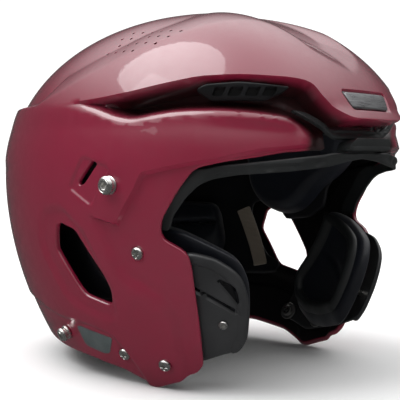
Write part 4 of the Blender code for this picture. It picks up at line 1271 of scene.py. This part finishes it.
def hardware(looks):
    """The studs, screws, nuts and snaps on both sides."""
    steel, nut = looks["steel"], looks["nut"]
    for name, side in SIDES.items():
        made = {
            "upper_stud": stud(f"stud_upper_{name}", UPPER_STUD_AT, side, 5.4, 5.75, steel, LOW_COLLAR),
            "lower_stud": stud(f"stud_lower_{name}", LOWER_STUD_AT, side, 6.4, 4.9, steel, TALL_COLLAR),
            "side_screw": screw(f"screw_side_{name}", SIDE_SCREW_AT, side, 8.0, steel),
        }
        for key, (at, shank) in NUTS.items():
            made[key + "_nut"] = tee_nut(f"nut_{key}_{name}", at, side, relief_at(at) - NUT_DROP, shank, nut)
        made["jaw_snap_front"] = snap(f"snap_front_{name}", JAW_SNAPS["front"], side, steel)
        made["jaw_snap_rear"] = post(f"snap_rear_{name}", JAW_SNAPS["rear"], side, steel)
        for key, at in JAW_SCREWS_AT.items():
            made[f"jaw_screw_{key}"] = screw(f"screw_jaw_{key}_{name}", at, side, relief_at(at) + 11.5, steel)
            made[f"jaw_nut_{key}"] = tee_nut(f"nut_jaw_{key}_{name}", at, side, JAW_NUT_AT, 2.0, nut)
        for node, piece in made.items():
            settle(piece, "nut_steel" if "nut" in node else "stud_steel", f"{node}_{name}")


PAD_SEAMS = {
    "front": [[(-12, 58), (0, 58), (12, 58)]],
    "crown": [],
    "rear": [[(140, 16), (200, 16)]],
    "temple": [[(58, 24), (60, 68)], [(82, 28), (80, 68)]],
    "nape": [[(124, -56), (173, -56)]],
}


def build():
    """Makes every piece, gives each its look and body, and hides the node it stands for."""
    cover = cover_look()
    dark = plastic_look("jaw_plastic", (0.018, 0.0185, 0.020), (0.027, 0.0275, 0.029), 0.36)
    # Glossy near-black plastic for the jaw plate's groove and pocket floors: real gloss, with painted shade in
    # its dark colour.
    gloss_and_shade = plastic_look("gloss_and_shade_plastic", (0.0015, 0.0015, 0.002), (0.003, 0.003, 0.004), 0.22, 900, 0.04)
    # Near-black look for the grille's cell floors: painted shade seen through the vent cells.
    cell_shade = plastic_look("cell_shade", (0.002, 0.002, 0.002), (0.004, 0.004, 0.004), 0.6, 900, 0.3)
    liner = plastic_look("liner", (0.005, 0.005, 0.006), (0.010, 0.010, 0.012), 0.38)
    lining = plastic_look("lining", (0.004, 0.003, 0.0035), (0.007, 0.005, 0.006), 0.5)
    trim = plastic_look("trim_plastic", (0.011, 0.012, 0.0125), (0.018, 0.020, 0.0205), 0.42)
    vinyl = vinyl_look()
    settle(outer_shell(paint_look(), lining), "shell_paint", "outer_shell")
    settle(inner_shell(liner), "liner_plastic", "arch_shell")
    for node, (outline, side, thickness) in PAD_REGIONS.items():
        seams = PAD_SEAMS[node.split("_")[1]]
        piece = pad("cushion_" + node.removeprefix("pad_"), outline, side, thickness, cover, seams)
        settle(piece, "pad_cover", node, fill=0.7)
    for name, side in SIDES.items():
        settle(jaw_plate("jaw_back_" + name, side, dark, gloss_and_shade), "dark_plastic", "jaw_plate_" + name)
        body = "jaw_pad_" + name
        cushion = jaw_cushion("cushion_jaw_" + name, side, cover)
        settle(cushion, "pad_cover", "jaw_pad_" + name, body=body, fill=0.8)
        settle(jaw_rim("rim_jaw_" + name, side, trim), "grey_trim", "jaw_rim_" + name, body=body)
        settle(grille("grille_" + name, side, liner, cell_shade), "grey_trim", "vent_grille_" + name)
        settle(decal("sticker_" + name, side, vinyl), "decal_vinyl", "decal_" + name)
    settle(brow_insert(trim), "grey_trim", "brow_insert")
    settle(brow_lip(trim), "grey_trim", "brow_lip")
    settle(edge_band(trim), "grey_trim", "liner_edge_band")
    settle(nameplate(badge_look()), "nameplate_gloss", "nameplate")
    settle(woven_label(weave_look()), "woven_label", "inner_label")
    hardware({"steel": steel_look("bright_steel", (0.86, 0.85, 0.82), 0.26),
              "nut": steel_look("dull_steel", (0.42, 0.41, 0.40), 0.38)})
    columns = column_look()
    for node in ("core_crown", "core_left", "core_right", "core_rear"):
        column = frame["nodes"][node]
        column.data.materials.clear()
        column.data.materials.append(columns)


# ---- floor, light and camera

FLOOR_REACH = 6.0
SEEN_WHITE = 1.15
ROOM_LOW = 0.08
ROOM_HIGH = 1.8
ROOM_RISE = {"From Min": 0.30, "From Max": 0.92, "To Min": ROOM_LOW, "To Max": ROOM_HIGH}
PANEL_AIM, PANEL_POWER, PANEL_SPREAD = (0.35, -0.35, -1.0), 1.5, 45
BOX_AT, BOX_SIZE, BOX_POWER = (-1.4, 0.8, 1.5), (0.9, 1.2), 4
CAMERA_LENS = 82.4
CAMERA_AIM = (0, 3.5, -15.97)
CAMERA_TURN = math.radians(-50)
CAMERA_RISE = math.radians(2.63)
CAMERA_REACH = 655.08


def white_room():
    """A world that the camera sees as plain white. Its light is dim near the floor and bright overhead."""
    world = bpy.data.worlds.new("white_room")
    world.use_nodes = True
    tree = world.node_tree
    add, white = node_adder(tree), (1, 1, 1, 1)
    seen = tree.nodes["Background"]
    seen.inputs["Color"].default_value, seen.inputs["Strength"].default_value = white, SEEN_WHITE
    up = add("SeparateXYZ", links={"Vector": add("TexCoord").outputs["Generated"]}).outputs["Z"]
    rise = add("MapRange", ROOM_RISE, {"Value": up}, interpolation_type="SMOOTHSTEP")
    lit = add("Background", {"Color": white}, {"Strength": rise.outputs["Result"]})
    either = add("MixShader", links={"Fac": add("LightPath").outputs["Is Camera Ray"],
                                     1: lit.outputs["Background"], 2: seen.outputs["Background"]})
    tree.links.new(either.outputs["Shader"], tree.nodes["World Output"].inputs["Surface"])
    bpy.context.scene.world = world


def studio():
    """A pale floor, a white room, a wide soft panel overhead, a soft box on the left and the camera."""
    mesh = bpy.data.meshes.new("floor")
    corners = [(x * FLOOR_REACH, y * FLOOR_REACH, 0) for x, y in ((-1, -1), (1, -1), (1, 1), (-1, 1))]
    mesh.from_pydata(corners, [], [[0, 1, 2, 3]])
    mesh.materials.append(floor_look())
    floor = placed("floor", mesh)
    floor.visible_glossy = False
    white_room()
    bpy.context.scene.view_settings.view_transform = "Standard"
    panel = bpy.data.lights.new("overhead_panel", "SUN")
    panel.energy, panel.angle = PANEL_POWER, math.radians(PANEL_SPREAD)
    placed("overhead_panel", panel, aim=PANEL_AIM)
    centre = Vector(HEAD_CENTRE) * MM
    box = bpy.data.lights.new("left_box", "AREA")
    box.shape, box.size, box.size_y, box.energy = "RECTANGLE", *BOX_SIZE, BOX_POWER
    placed("left_box", box, BOX_AT, centre - Vector(BOX_AT))
    flat = math.cos(CAMERA_RISE)
    back = Vector((math.sin(CAMERA_TURN) * flat, -math.cos(CAMERA_TURN) * flat, math.sin(CAMERA_RISE)))
    lens = bpy.data.cameras.new("camera")
    lens.lens, lens.sensor_width = CAMERA_LENS, 36
    place = centre + (Vector(CAMERA_AIM) + back * CAMERA_REACH) * MM
    bpy.context.scene.camera = placed("camera", lens, place, -back)


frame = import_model()
build()
studio()
